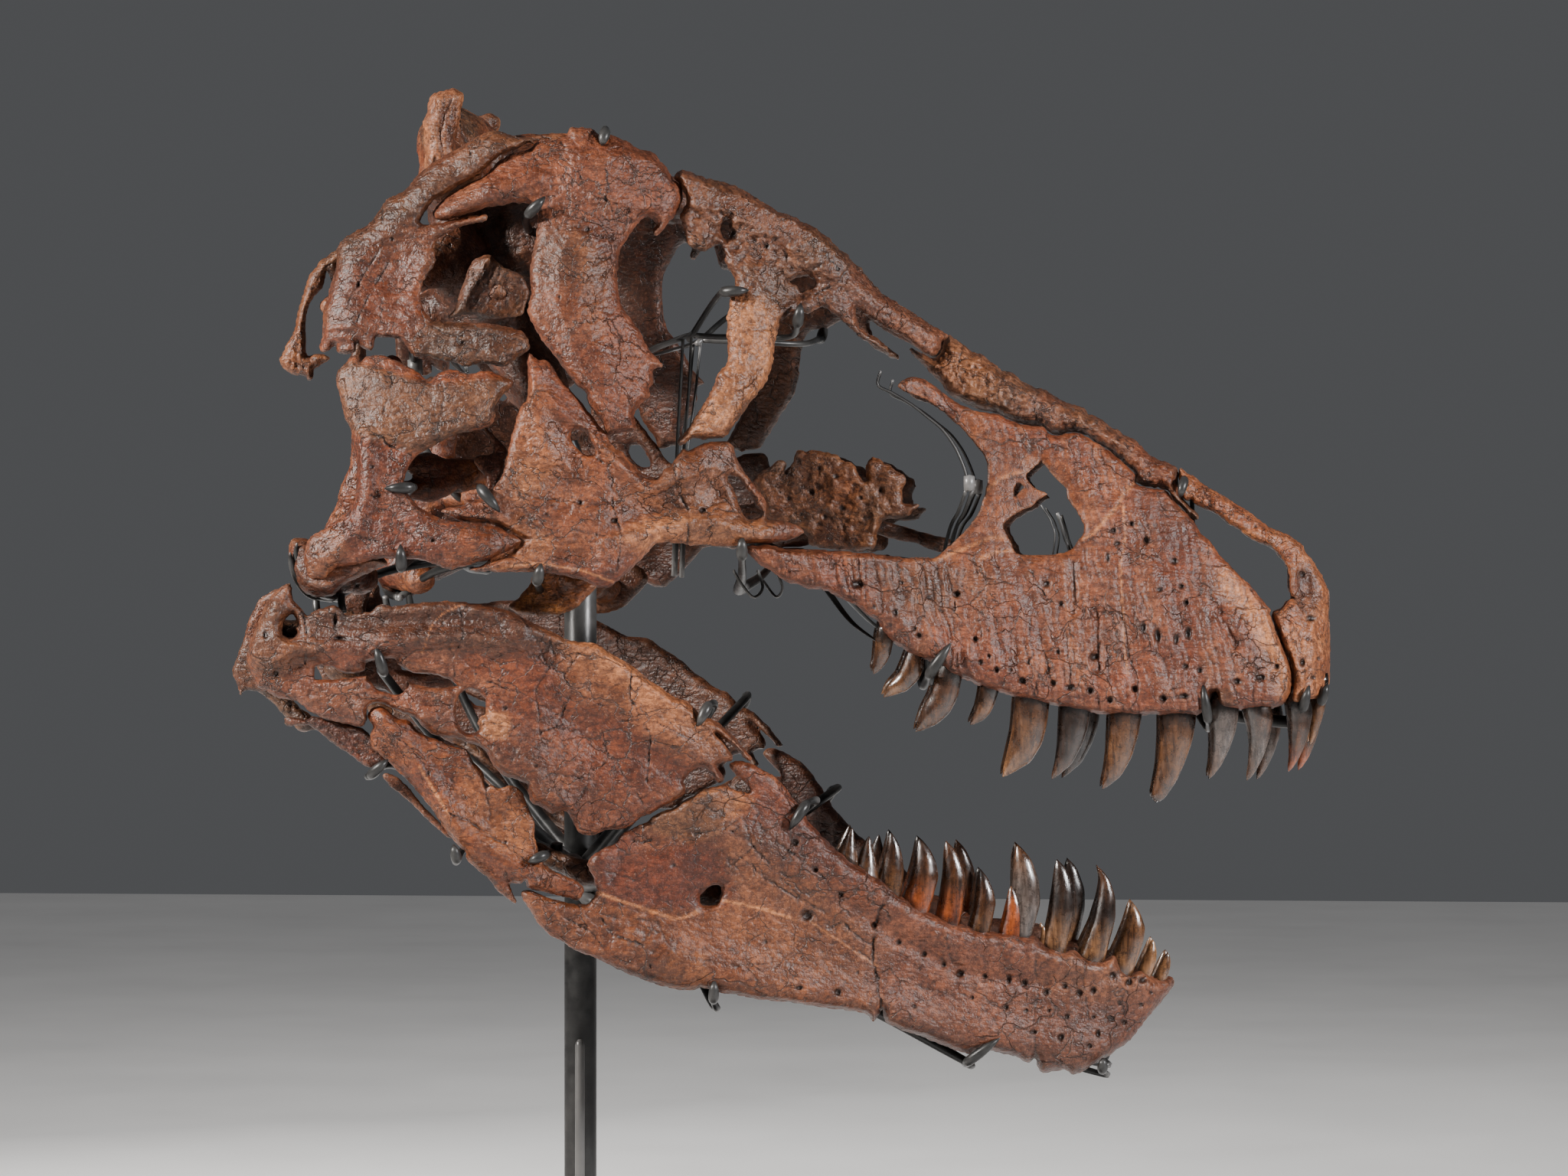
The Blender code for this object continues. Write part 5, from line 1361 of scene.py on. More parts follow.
dentary.patches = [
    ("780,1110 930,1110 935,1155 915,1190 850,1190 780,1160", RUST, 0.45, 24, 0.5),
    ("870,1040 965,1035 975,1060 900,1100 830,1110", CREAM, 0.6, 18, 0.1),
    ("950,1080 986,1084 984,1120 955,1118", FILLER, 0.85, 10, 0.85),
    ("820,1190 910,1200 905,1250 825,1245", OCHRE, 0.7, 16, 0.5),
    ("868,1245 922,1248 920,1292 872,1290", CREAM, 0.75, 12, 0.0),
    ("1360,1240 1500,1268 1495,1305 1365,1300", CREAM, 0.55, 18, 0.3),
    ("1340,1305 1530,1290 1470,1365 1400,1403 1330,1382", UMBER, 0.40, 24, 0.0),
    ("840,1262 1340,1350 1340,1384 1000,1310 850,1290", UMBER, 0.45, 20, 0.0),
    ("980,1000 1050,1060 1130,1140 1060,1130 990,1040", RUST, 0.5, 16, 0.0),
    ("1120,1150 1350,1235 1350,1290 1140,1230", TERRACOTTA, 0.4, 30, 0.0),
    ("960,1120 1130,1200 1130,1290 950,1270", CREAM, 0.35, 50, 0.25),
    ("700,1080 1140,1100 1540,1240 1540,1300 1420,1410 1150,1350 900,1300 680,1200", UMBER, 0.42, 30, 0.0),
    ("777,1095 850,1085 944,1130 960,1180 900,1185 790,1180", RUST, 0.55, 8, 0.1),
    ("690,1170 780,1180 900,1195 900,1290 780,1250 700,1200", OCHRE, 0.5, 10, 0.0),
    ("905,1190 1010,1190 1130,1240 1136,1320 1000,1300 900,1290", OCHRE, 0.45, 16, 0.0),
    ("820,1040 900,1010 944,1060 930,1097 850,1085", DRAB, 0.55, 14, 0.0),
    ("1140,1170 1300,1200 1500,1250 1520,1290 1400,1390 1150,1310", MAUVE, 0.5, 20, 0.0),
]
dentary.make()

HEEL = trail(
    "380,764 366,768 354,773 339,783 331,798 323,815 318,836 310,858 303,876 309,892 314,908 322,901 "
    "348,903 366,880 370,800")
Bone("prearticular_heel", HEEL, half=lambda u, v: jaw_half(u, v) - 0.032, thick=13, rim=6, step=2.2,
     seed=231, rough=1.1, colour=TERRACOTTA, second=DRAB, streak=(110, 2.0),
     nodes=("prearticular_right", "prearticular_left")).make()

STRIP = trail(
    "372,940 376,937 400,939 410,936 432,941 470,950 484,962 494,982 506,993 498,997 484,1003 478,1001 "
    "460,988 440,974 430,967 420,958 410,952 400,947 376,948")
Bone("prearticular_strip", STRIP, half=lambda u, v: jaw_half(u, v) - 0.021, thick=12, rim=6, step=2.0,
     seed=233, rough=1.8, colour=RUST, second=UMBER, streak=(40, 1.6), knobbly=1.6,
     nodes=("prearticular_right", "prearticular_left")).make()

SLIVER = trail(
    "500,1012 510,1011 526,1020 546,1044 566,1066 586,1084 592,1094 584,1093 566,1078 544,1056 524,1038 "
    "508,1026")
Bone("prearticular_sliver", SLIVER, half=lambda u, v: jaw_half(u, v) - 0.012, thick=10, rim=5, step=2.0,
     seed=235, rough=1.2, colour=OCHRE, second=RUST, streak=(45, 2.0),
     nodes=("prearticular_right", "prearticular_left")).make()

# ---------------------------------------------------------------- palate plates
PALATINE = trail(
    "985,627 1005,610 1018,602 1026,605 1025,618 1035,605 1043,590 1055,590 1062,588 1082,592 1100,600 "
    "1118,610 1122,622 1133,626 1130,612 1135,600 1142,598 1160,606 1178,620 1182,630 1178,645 1182,658 "
    "1198,658 1200,663 1180,676 1155,681 1145,698 1139,718 1090,717 1060,712 1051,696 1003,677 1000,660")


def palatine_form(u, v):
    return 2 * noise(u / 18.0, v / 18.0, 601)


palatine = Bone("palatine", PALATINE, half=0.125, thick=22, rim=10, step=2.6, seed=301, rough=1.6,
                colour=DRAB, second=OCHRE, form=palatine_form, ragged=2.4, knobbly=2.2, flaky=2.0,
                streak=(25, 1.6))
palatine.pits = [
    (1060, 643, 4, 5, 6), (1100, 664, 5, 4, 6), (1030, 652, 3, 3, 4), (1150, 640, 3, 5, 5),
    (1092, 622, 4, 3, 4), (1046, 672, 3, 2, 4), (1078, 676, 3, 4, 4), (1124, 650, 3, 3, 4),
    (1070, 612, 3, 3, 4)]
palatine.make()


# ---------------------------------------------------------------- teeth
TOOTH_RINGS, TOOTH_SIDES = 34, 28
TOOTH_DEPTH = 0.66
ROOT_LENGTH = 26.0
# The rings of the root: how far up it, its share of the neck's width, and its place along the tooth.
ROOT = ((1.0, 0.7, -0.3), (0.6, 0.92, -0.2), (0.25, 1.0, -0.08))
T_DARK = srgb(36, 25, 19)
T_BROWN = srgb(62, 40, 25)
T_TAN = srgb(80, 55, 35)
T_BUFF = srgb(112, 82, 56)
T_GREY = srgb(74, 68, 66)
T_ORANGE = srgb(128, 66, 32)
T_CREAM = srgb(140, 106, 74)


def evenly(points, count):
    """A drawn line as count points at equal steps, lightly smoothed."""
    steps = np.r_[0, np.cumsum(np.hypot(*np.diff(points, axis=0).T))]
    t = np.linspace(0, steps[-1], count)
    line = np.c_[np.interp(t, steps, points[:, 0]), np.interp(t, steps, points[:, 1])]
    kernel = np.array([1, 2, 3, 2, 1]) / 9.0
    padded = np.vstack([2 * line[0] - line[2:0:-1], line, 2 * line[-1] - line[-2:-4:-1]])
    return np.c_[np.convolve(padded[:, 0], kernel, "valid"), np.convolve(padded[:, 1], kernel, "valid")]


def tooth(left, right, y_neck, lean):
    """A tooth and its root between two drawn edges: points, triangles and how far along each point is."""
    a, b = evenly(left, TOOTH_RINGS), evenly(right, TOOTH_RINGS)
    centre, gap = (a + b) / 2, (b - a) / 2
    width = np.hypot(*gap.T)
    up = centre[0] - centre[3]
    up = up / np.hypot(*up)
    centre = np.vstack([[centre[0] + up * ROOT_LENGTH * part for part, _, _ in ROOT], centre])
    gap = np.vstack([[gap[0] * narrow for _, narrow, _ in ROOT], gap])
    width = np.r_[[width[0] * narrow for _, narrow, _ in ROOT], width]
    share = np.r_[[place for _, _, place in ROOT], np.linspace(0, 1, TOOTH_RINGS)]
    tip = np.sqrt(np.clip((1 - share) * 14, 0, 1))[:, None]
    angle = np.arange(TOOTH_SIDES) * 2 * math.pi / TOOTH_SIDES
    across, deep = np.cos(angle), np.sin(angle) * (0.55 + 0.45 * np.abs(np.sin(angle)))
    u, v = (centre[:, n, None] + gap[:, n, None] * across * tip for n in range(2))
    y = y_neck + lean * share[:, None] + width[:, None] * TOOTH_DEPTH / MM * deep * tip
    verts = np.stack(np.broadcast_arrays(*lift(u, v, y)), -1).reshape(-1, 3)
    verts = np.vstack([verts, verts[:TOOTH_SIDES].mean(0), verts[-TOOTH_SIDES:].mean(0)])
    return verts, tube_faces(len(centre), TOOTH_SIDES), np.r_[np.repeat(share, TOOTH_SIDES), share[0], 1.0]


def tooth_paint(verts, share, seed, neck, middle, tip):
    """Colours along a tooth, with painted shade where it meets the bone."""
    shade = solid_grain(verts * MM * (1, 1, 0.4), seed + 50, 9.0, 3)
    t = np.clip(share + 0.10 * shade, 0, 1)[:, None]
    first, last = np.clip(t / 0.45, 0, 1), np.clip((t - 0.55) / 0.4, 0, 1)
    paint = np.array(neck) * (1 - first) + np.array(middle) * first
    paint = paint * (1 - last) + np.array(tip) * last
    # Painted shade: darker towards the neck, where the tooth goes into the bone.
    return paint * (1 - 0.75 * np.clip((0.07 - share) / 0.10, 0, 1))[:, None]


def tooth_row(name, teeth, half, inward, lean, seed, ahead):
    """The teeth of one bone on both sides: (left edge, right edge, neck colour, crown colour, tip colour).

    On the left those numbered in ahead stand further forward, so that they show between the near ones.
    """
    for side, sign in (("right", 1), ("left", -1)):
        rng = np.random.default_rng(seed)
        parts, paints = [], []
        for number, (left, right, *colours) in enumerate(teeth):
            shift = (0, 0) if side == "right" else (13, -2) if number in ahead else (-3, -4)
            left, right = np.array(trail(left)), np.array(trail(right))
            y = sign * min(-float(half(*((left[0] + right[0]) / 2))) + inward, -0.014)
            own_lean = sign * (lean + rng.uniform(-0.003, 0.003))
            verts, faces, share = tooth(left + shift, right + shift, y, own_lean)
            wrinkle = solid_grain(verts * MM * (1, 1, 0.25), seed + number, 3.2, 2) * 0.0004
            away = (verts - verts.mean(0)) * (1, 1, 0)
            away /= np.maximum(np.linalg.norm(away, axis=1, keepdims=True), 1e-6)
            verts = verts + away * (wrinkle * np.clip(1 - share, 0, 1))[:, None]
            parts.append((verts, faces))
            paints.append(tooth_paint(verts, share, seed, *colours))
        verts, faces = gathered(parts)
        mesh_piece(f"{name}_{side}_teeth", verts, outward(verts, faces), (f"{name}_{side}",), "fossil_bone",
                   TOOTH, np.vstack(paints))


tooth_row("maxilla", [
    ("1143,836 1142,850 1141,864 1139,872 1140,880",
     "1166,842 1163,856 1156,868 1149,876 1142,881", T_TAN, T_BROWN, T_BROWN),
    ("1184,850 1178,866 1172,880 1160,893 1153,910",
     "1207,860 1207,872 1200,888 1184,903 1154,912", T_BROWN, T_TAN, T_BUFF),
    ("1222,880 1218,894 1213,908 1204,925 1195,955",
     "1255,892 1251,912 1240,932 1224,946 1197,957", T_BROWN, T_BROWN, T_TAN),
    ("1280,896 1278,910 1275,924 1270,936 1266,946",
     "1303,908 1299,920 1293,932 1284,941 1268,948", T_BROWN, T_TAN, T_BROWN),
    ("1325,908 1323,932 1321,956 1315,982 1308,1014",
     "1370,926 1367,950 1361,972 1346,996 1311,1016", T_BROWN, T_TAN, T_BUFF),
    ("1382,922 1381,950 1380,974 1377,996 1372,1017",
     "1425,928 1421,952 1414,972 1400,998 1375,1019", T_DARK, T_DARK, T_BROWN),
    ("1448,932 1447,960 1446,984 1443,1008 1438,1030",
     "1491,938 1486,964 1478,990 1464,1014 1441,1032", T_BROWN, T_TAN, T_BROWN),
    ("1513,936 1513,968 1511,1000 1506,1028 1502,1046",
     "1562,940 1558,966 1550,990 1537,1020 1516,1050", T_BROWN, T_TAN, T_BROWN),
    ("1577,930 1580,954 1581,976 1580,998 1577,1016",
     "1618,932 1614,956 1606,978 1595,1000 1580,1019", T_GREY, T_GREY, T_TAN),
    ("1621,926 1628,950 1631,972 1630,996 1627,1018",
     "1663,940 1658,964 1651,986 1641,1006 1630,1021", T_BROWN, T_GREY, T_BROWN),
], head_half, 0.020, 0.006, 700, (5, 9))
tooth_row("premaxilla", [
    ("1677,918 1681,944 1683,968 1683,990 1681,1007",
     "1714,934 1710,956 1704,974 1696,992 1684,1009", T_DARK, T_BROWN, T_ORANGE),
    ("1714,908 1712,926 1711,944 1710,960 1709,972",
     "1734,904 1731,924 1726,942 1719,960 1712,974", T_DARK, T_TAN, T_BUFF),
], head_half, 0.018, 0.004, 720, (0,))
tooth_row("dentary", [
    ("1094,1112 1098,1104 1102,1096 1107,1088 1112,1081",
     "1121,1128 1120,1116 1118,1104 1116,1092 1114,1081", T_TAN, T_BROWN, T_BROWN),
    ("1115,1132 1120,1120 1124,1110 1129,1100 1134,1092",
     "1148,1150 1146,1134 1143,1118 1139,1104 1136,1092", T_TAN, T_BROWN, T_BROWN),
    ("1143,1150 1150,1132 1155,1116 1159,1100 1162,1087",
     "1176,1172 1181,1140 1179,1120 1174,1102 1165,1087", T_TAN, T_BROWN, T_DARK),
    ("1178,1172 1186,1150 1192,1128 1196,1110 1199,1095",
     "1213,1192 1226,1146 1222,1124 1214,1108 1202,1095", T_ORANGE, T_BROWN, T_DARK),
    ("1221,1196 1228,1160 1231,1136 1232,1116 1234,1098",
     "1254,1204 1262,1150 1258,1132 1249,1112 1237,1098", T_ORANGE, T_BROWN, T_BROWN),
    ("1263,1212 1270,1186 1273,1166 1275,1150 1279,1136",
     "1292,1220 1301,1180 1298,1164 1291,1148 1282,1136", T_TAN, T_BROWN, T_DARK),
    ("1303,1218 1309,1196 1313,1180 1316,1168 1319,1157",
     "1333,1226 1336,1196 1333,1180 1328,1168 1322,1157", T_ORANGE, T_ORANGE, T_TAN),
    ("1321,1222 1322,1180 1322,1150 1323,1124 1327,1103",
     "1346,1226 1359,1180 1357,1150 1347,1122 1330,1103", T_GREY, T_GREY, T_TAN),
    ("1359,1232 1368,1192 1373,1160 1376,1138 1379,1122",
     "1392,1244 1404,1190 1404,1164 1394,1136 1382,1122", T_BUFF, T_DARK, T_DARK),
    ("1404,1246 1424,1204 1434,1172 1438,1150 1433,1133",
     "1443,1254 1457,1200 1457,1172 1449,1148 1436,1133", T_BUFF, T_DARK, T_BROWN),
    ("1449,1250 1460,1226 1468,1206 1473,1190 1477,1178",
     "1479,1272 1494,1228 1496,1212 1490,1194 1480,1178", T_BUFF, T_TAN, T_BUFF),
    ("1486,1266 1492,1252 1497,1242 1501,1233 1504,1227",
     "1502,1278 1510,1256 1511,1244 1509,1235 1507,1227", T_BUFF, T_BUFF, T_CREAM),
    ("1505,1278 1511,1266 1516,1256 1520,1249 1524,1244",
     "1523,1282 1528,1266 1529,1256 1528,1249 1526,1244", T_BUFF, T_BUFF, T_TAN),
    ("1357,1240 1358,1230 1359,1222 1360,1215 1361,1209",
     "1368,1240 1368,1230 1367,1222 1366,1215 1363,1209", T_BUFF, T_BUFF, T_CREAM),
], jaw_half, 0.020, 0.003, 740, (1, 4, 6, 8))

# ---------------------------------------------------------------- inner bones
def bar(*path):
    """A round bar along a path of (u, v, y, radius)."""
    return "bar", lifted(path)


def ball(centre, radii):
    """An ellipsoid about a point of the drawing."""
    return "ball", (drawn(*centre), np.array(radii))


def ball_field(x, y, z, c, r):
    """Distance to an ellipsoid, nearly."""
    q = np.sqrt(((x - c[0]) / r[0]) ** 2 + ((y - c[1]) / r[1]) ** 2 + ((z - c[2]) / r[2]) ** 2)
    g = np.sqrt(((x - c[0]) / r[0] ** 2) ** 2 + ((y - c[1]) / r[1] ** 2) ** 2 + ((z - c[2]) / r[2] ** 2) ** 2)
    return q * (q - 1) / np.maximum(g, 1e-6)


def bar_field(x, y, z, a, ra, b, rb):
    """Distance to a bar from a to b, whose radius goes from ra to rb."""
    ab = b - a
    t = np.clip(((x - a[0]) * ab[0] + (y - a[1]) * ab[1] + (z - a[2]) * ab[2]) / (ab @ ab), 0, 1)
    off = np.sqrt((x - a[0] - t * ab[0]) ** 2 + (y - a[1] - t * ab[1]) ** 2 + (z - a[2] - t * ab[2]) ** 2)
    return off - (ra + (rb - ra) * t)


def distances(bodies, x, y, z):
    """The distance to each ball and to each stretch of a bar, in turn."""
    for kind, shape in bodies:
        if kind == "ball":
            yield ball_field(x, y, z, *shape)
            continue
        for (*a, ra), (*b, rb) in zip(shape, shape[1:]):
            yield bar_field(x, y, z, np.array(a), ra, np.array(b), rb)


def grown(bodies, step, blend, mirrored):
    """The surface of bars and balls grown together, as points and quads."""
    reach = []
    for kind, shape in bodies:
        if kind == "bar":
            reach += [np.array(point) + side * radius for *point, radius in shape for side in (-1, 1)]
        else:
            reach += [shape[0] - shape[1], shape[0] + shape[1]]
    low, high = np.min(reach, 0) - 0.02, np.max(reach, 0) + 0.02
    if mirrored:
        high[1] = max(-low[1], high[1])
        low[1] = -high[1]
    axes = [np.arange(low[n], high[n] + step, step, dtype=np.float32) for n in range(3)]
    x, y, z = axes[0][:, None, None], axes[1][None, :, None], axes[2][None, None, :]
    if mirrored:
        y = -np.abs(y)
    field = None
    for other in distances(bodies, x, y, z):
        field = other if field is None else smooth_min(field, other, blend)
    return field_mesh(field, low, step)


def organic(name, bodies, step, blend, seed, colours, rough=1.0, mirrored=False, lumps=0.004):
    """Bones grown together and roughened: one piece across the midline if mirrored, or else a pair."""
    verts, quads = grown(bodies, step, blend, mirrored)
    quads = outward(verts, quads)
    mm = verts * MM + ((0, 500, 0) if mirrored else (0, 0, 0))
    coarse, fine = solid_grain(mm, seed, 34.0, 2), solid_grain(mm, seed + 5, 11.0, 3)
    pitted = np.clip(solid_grain(mm, seed + 9, 16.0, 2) - 0.32, 0, 1)
    height = lumps * coarse + 0.0016 * rough * fine - 0.010 * rough * pitted
    verts = verts + vertex_normals(verts, quads) * height[:, None]
    if not mirrored:
        verts[:, 1] = np.minimum(verts[:, 1], -0.002)
    # Painted shade in pits and valleys, and a painted shadow near the midline below 1.935 m.
    hollow_shade = np.clip(pitted * 4.5 + np.clip(-fine * 0.7 - 0.15, 0, 1), 0, 1)
    shadow = np.clip((0.155 - np.abs(verts[:, 1])) / 0.05, 0, 1) * np.clip((1.935 - verts[:, 2]) / 0.04, 0, 1)
    paint = blended(*colours, np.clip(0.5 + 1.2 * solid_grain(mm, seed + 20, 60.0, 3), 0, 1))
    paint = mixed(paint, CREAM, 0.35 * np.clip(solid_grain(mm, seed + 30, 24.0, 3) * 1.5, 0, 1))
    paint = mixed(mixed(paint, UMBER, 0.75 * shadow), DARK, 0.85 * hollow_shade)
    relief = np.stack((hollow_shade, np.zeros(len(verts)), np.full(len(verts), 0.5)), 1)
    if mirrored:
        mesh_piece(f"{name}_fossil", verts, quads, (name,), "fossil_bone", BONE, paint, relief)
        return
    for side, shape in (("right", (verts, quads)), ("left", mirror(verts, quads))):
        mesh_piece(f"{name}_{side}_fossil", *shape, (f"{name}_{side}",), "fossil_bone", BONE, paint, relief)


organic("quadrate", [
    bar((512, 478, -0.262, 0.015), (482, 560, -0.292, 0.017), (470, 640, -0.292, 0.019),
        (430, 735, -0.276, 0.025)),
    bar((410, 745, -0.290, 0.020), (440, 745, -0.262, 0.022), (472, 756, -0.232, 0.022)),
    bar((480, 590, -0.285, 0.012), (560, 610, -0.240, 0.012), (640, 610, -0.195, 0.011)),
    bar((475, 640, -0.285, 0.012), (560, 640, -0.240, 0.011), (640, 625, -0.195, 0.010)),
], 0.0030, 0.020, 801, (RUST, OCHRE))
organic("pterygoid", [
    bar((660, 610, -0.165, 0.013), (720, 640, -0.130, 0.017), (800, 690, -0.100, 0.019),
        (880, 690, -0.075, 0.015)),
    bar((880, 690, -0.075, 0.015), (1000, 668, -0.052, 0.013), (1120, 680, -0.040, 0.011),
        (1260, 720, -0.024, 0.008)),
], 0.0028, 0.014, 811, (OCHRE, DRAB))

WING = trail(
    "664,792 676,782 690,766 712,742 760,732 786,752 776,770 764,782 748,797 715,804 690,803 674,800")
Bone("ectopterygoid_wing", WING, half=0.272, thick=20, rim=9, step=1.9, seed=822, rough=1.2, colour=YELLOW,
     second=OCHRE, streak=(160, 2.0), lined=1.2, nodes=("ectopterygoid_right", "ectopterygoid_left")).make()

organic("ectopterygoid", [
    bar((740, 762, -0.268, 0.014), (722, 768, -0.245, 0.018), (716, 762, -0.205, 0.020),
        (748, 752, -0.165, 0.017)),
], 0.0026, 0.014, 821, (OCHRE, DRAB))
organic("braincase", [
    ball((690, 320, 0.0), (0.076, 0.060, 0.068)),
    bar((736, 322, 0.0, 0.044), (806, 284, 0.0, 0.024)),
    bar((742, 226, -0.128, 0.020), (742, 216, 0.0, 0.028)),
    bar((778, 232, -0.140, 0.020), (778, 226, 0.0, 0.027)),
    bar((814, 244, -0.140, 0.020), (814, 238, 0.0, 0.026)),
    bar((850, 254, -0.128, 0.019), (850, 248, 0.0, 0.024)),
    bar((884, 266, -0.104, 0.017), (884, 260, 0.0, 0.021)),
    ball((705, 232, 0.0), (0.130, 0.034, 0.060)),
    bar((580, 168, -0.118, 0.024), (590, 185, -0.060, 0.040), (606, 198, 0.0, 0.044)),
    bar((578, 205, -0.165, 0.020), (590, 200, -0.100, 0.026), (610, 190, 0.0, 0.030)),
    bar((578, 240, -0.090, 0.032), (606, 260, 0.0, 0.046)),
    ball((600, 320, 0.0), (0.036, 0.104, 0.100)),
    bar((596, 330, -0.070, 0.034), (500, 375, -0.170, 0.022), (430, 400, -0.222, 0.012)),
    bar((470, 385, -0.190, 0.016), (432, 345, -0.226, 0.010)),
    ball((560, 415, 0.0), (0.036, 0.036, 0.034)),
    bar((640, 410, 0.0, 0.050), (700, 500, 0.0, 0.034), (740, 560, 0.0, 0.022)),
    bar((690, 490, -0.020, 0.026), (724, 570, -0.062, 0.022)),
    bar((640, 378, -0.060, 0.028), (650, 380, -0.110, 0.018), (652, 382, -0.136, 0.012)),
], 0.0043, 0.030, 831, (TERRACOTTA, DRAB), mirrored=True, rough=1.2)
organic("vomer", [
    bar((1275, 735, 0.0, 0.010), (1400, 790, 0.0, 0.009), (1530, 862, 0.0, 0.010)),
    ball((1560, 872, 0.0), (0.085, 0.026, 0.009)),
], 0.0026, 0.012, 841, (DRAB, OCHRE), mirrored=True, lumps=0.0015, rough=0.4)
organic("prearticular", [
    bar((400, 942, -0.283, 0.006), (500, 975, -0.284, 0.009), (610, 1070, -0.268, 0.011),
        (760, 1140, -0.238, 0.013), (900, 1160, -0.200, 0.018), (1060, 1205, -0.155, 0.016),
        (1200, 1265, -0.105, 0.012)),
    bar((395, 945, -0.283, 0.010), (335, 880, -0.282, 0.014), (345, 812, -0.280, 0.015)),
    bar((350, 830, -0.280, 0.022), (400, 838, -0.279, 0.026), (470, 826, -0.279, 0.022)),
], 0.0030, 0.016, 851, (UMBER, DRAB), rough=1.3)


# ---------------------------------------------------------------- stand
POST_RADIUS = 0.022
COLLAR_RADIUS, COLLAR_TOP_RADIUS = 0.042, 0.026
ROUND_SIDES = 40
PLATE_X, PLATE_Y, PLATE_Z = 1.00, 0.70, 0.012
PLATE_AHEAD = 0.09
PLATE_CORNER = 0.02
PLATE_BEVEL = 0.0015
CORNER_STEPS = 8
FOOT_Z = PLATE_Z + 0.0002
POST_TOP = float(drawn(758, 640, 0.0)[2])
CLAW_SIDES = 18
# A clip's profile: how far along it, its share of the radius, and its height off the bone in m.
HORN = ((-0.2, 0.62, -0.018), (-0.12, 0.88, -0.002), (0.0, 1.0, 0.004), (0.25, 1.0, 0.008),
        (0.55, 0.82, 0.010), (0.8, 0.5, 0.008), (1.0, 0.12, 0.004))


def swept(points, sides, steps=7, flat=1.0):
    """A closed bar that curves through points (x, y, z, radius). flat thins it across."""
    p = np.array(points, float)
    if steps > 1 and len(p) > 2:
        ends = np.vstack([2 * p[0] - p[1], p, 2 * p[-1] - p[-2]])
        rows = [spline(*four, t) for four in zip(ends, ends[1:], ends[2:], ends[3:])
                for t in np.arange(steps) / steps]
        p = np.vstack([rows, p[-1:]])
    centre, radius = p[:, :3], np.maximum(p[:, 3], 0.0004)
    tangent = np.gradient(centre, axis=0)
    tangent /= np.maximum(np.linalg.norm(tangent, axis=1, keepdims=True), 1e-9)
    side = np.cross(tangent[0], (0, 0, 1) if abs(tangent[0][2]) < 0.9 else (1, 0, 0))
    turn = np.arange(sides) * 2 * math.pi / sides
    c, s = np.cos(turn)[:, None], np.sin(turn)[:, None]
    rings = []
    for middle, ahead, r in zip(centre, tangent, radius):
        side = side - ahead * (side @ ahead)
        side = side / np.linalg.norm(side)
        rings.append(middle + r * (c * side + flat * s * np.cross(ahead, side)))
    start = centre[0] - tangent[0] * radius[0] * 0.3
    end = centre[-1] + tangent[-1] * radius[-1] * 0.3
    verts = np.vstack([*rings, start, end])
    return verts, outward(verts, tube_faces(len(centre), sides))


def claw(butt, tip, half, stem, radius):
    """A horn-shaped clip that tapers over the bone's outer face from butt to tip, on an arm along stem."""
    (u0, v0), (u1, v1) = butt, tip
    face = max(float(half(u0, v0)), float(half(u1, v1)))
    horn = [(u0 + (u1 - u0) * t, v0 + (v1 - v0) * t, -(face + high), radius * fat) for t, fat, high in HORN]
    return swept(lifted([*stem, *horn]), CLAW_SIDES)


def plate():
    """The base: a flat plate with rounded corners and eased edges, standing on the floor."""
    outline = []
    for cx, cy, start in ((1, 1, 0), (-1, 1, 90), (-1, -1, 180), (1, -1, 270)):
        for step in range(CORNER_STEPS + 1):
            a = math.radians(start + step * 90 / CORNER_STEPS)
            outline.append((cx * (PLATE_X / 2 - PLATE_CORNER) + PLATE_CORNER * math.cos(a),
                            cy * (PLATE_Y / 2 - PLATE_CORNER) + PLATE_CORNER * math.sin(a)))
    eased, inner = 1 - PLATE_BEVEL / PLATE_X * 2, 0.985
    layers = ((inner, 0.0), (eased, 0.0), (1.0, PLATE_BEVEL), (1.0, PLATE_Z - PLATE_BEVEL), (eased, PLATE_Z),
              (inner, PLATE_Z))
    rings = [np.c_[np.array(outline) * k + (PLATE_AHEAD, 0), np.full(len(outline), z)] for k, z in layers]
    verts = np.vstack([*rings, (PLATE_AHEAD, 0, 0), (PLATE_AHEAD, 0, PLATE_Z)])
    return verts, tube_faces(len(layers), len(outline))


HEAD_SPINE = ((752, 640, 0.0, 0.010), (800, 688, 0.0, 0.010), (940, 692, 0.0, 0.010), (1050, 740, 0.0, 0.010),
              (1200, 800, 0.0, 0.010), (1390, 866, 0.0, 0.010), (1600, 915, 0.0, 0.010))
BRAINCASE_ARM = ((757, 650, 0, 0.012), (748, 590, 0, 0.012), (700, 480, 0, 0.010), (690, 400, 0, 0.010))
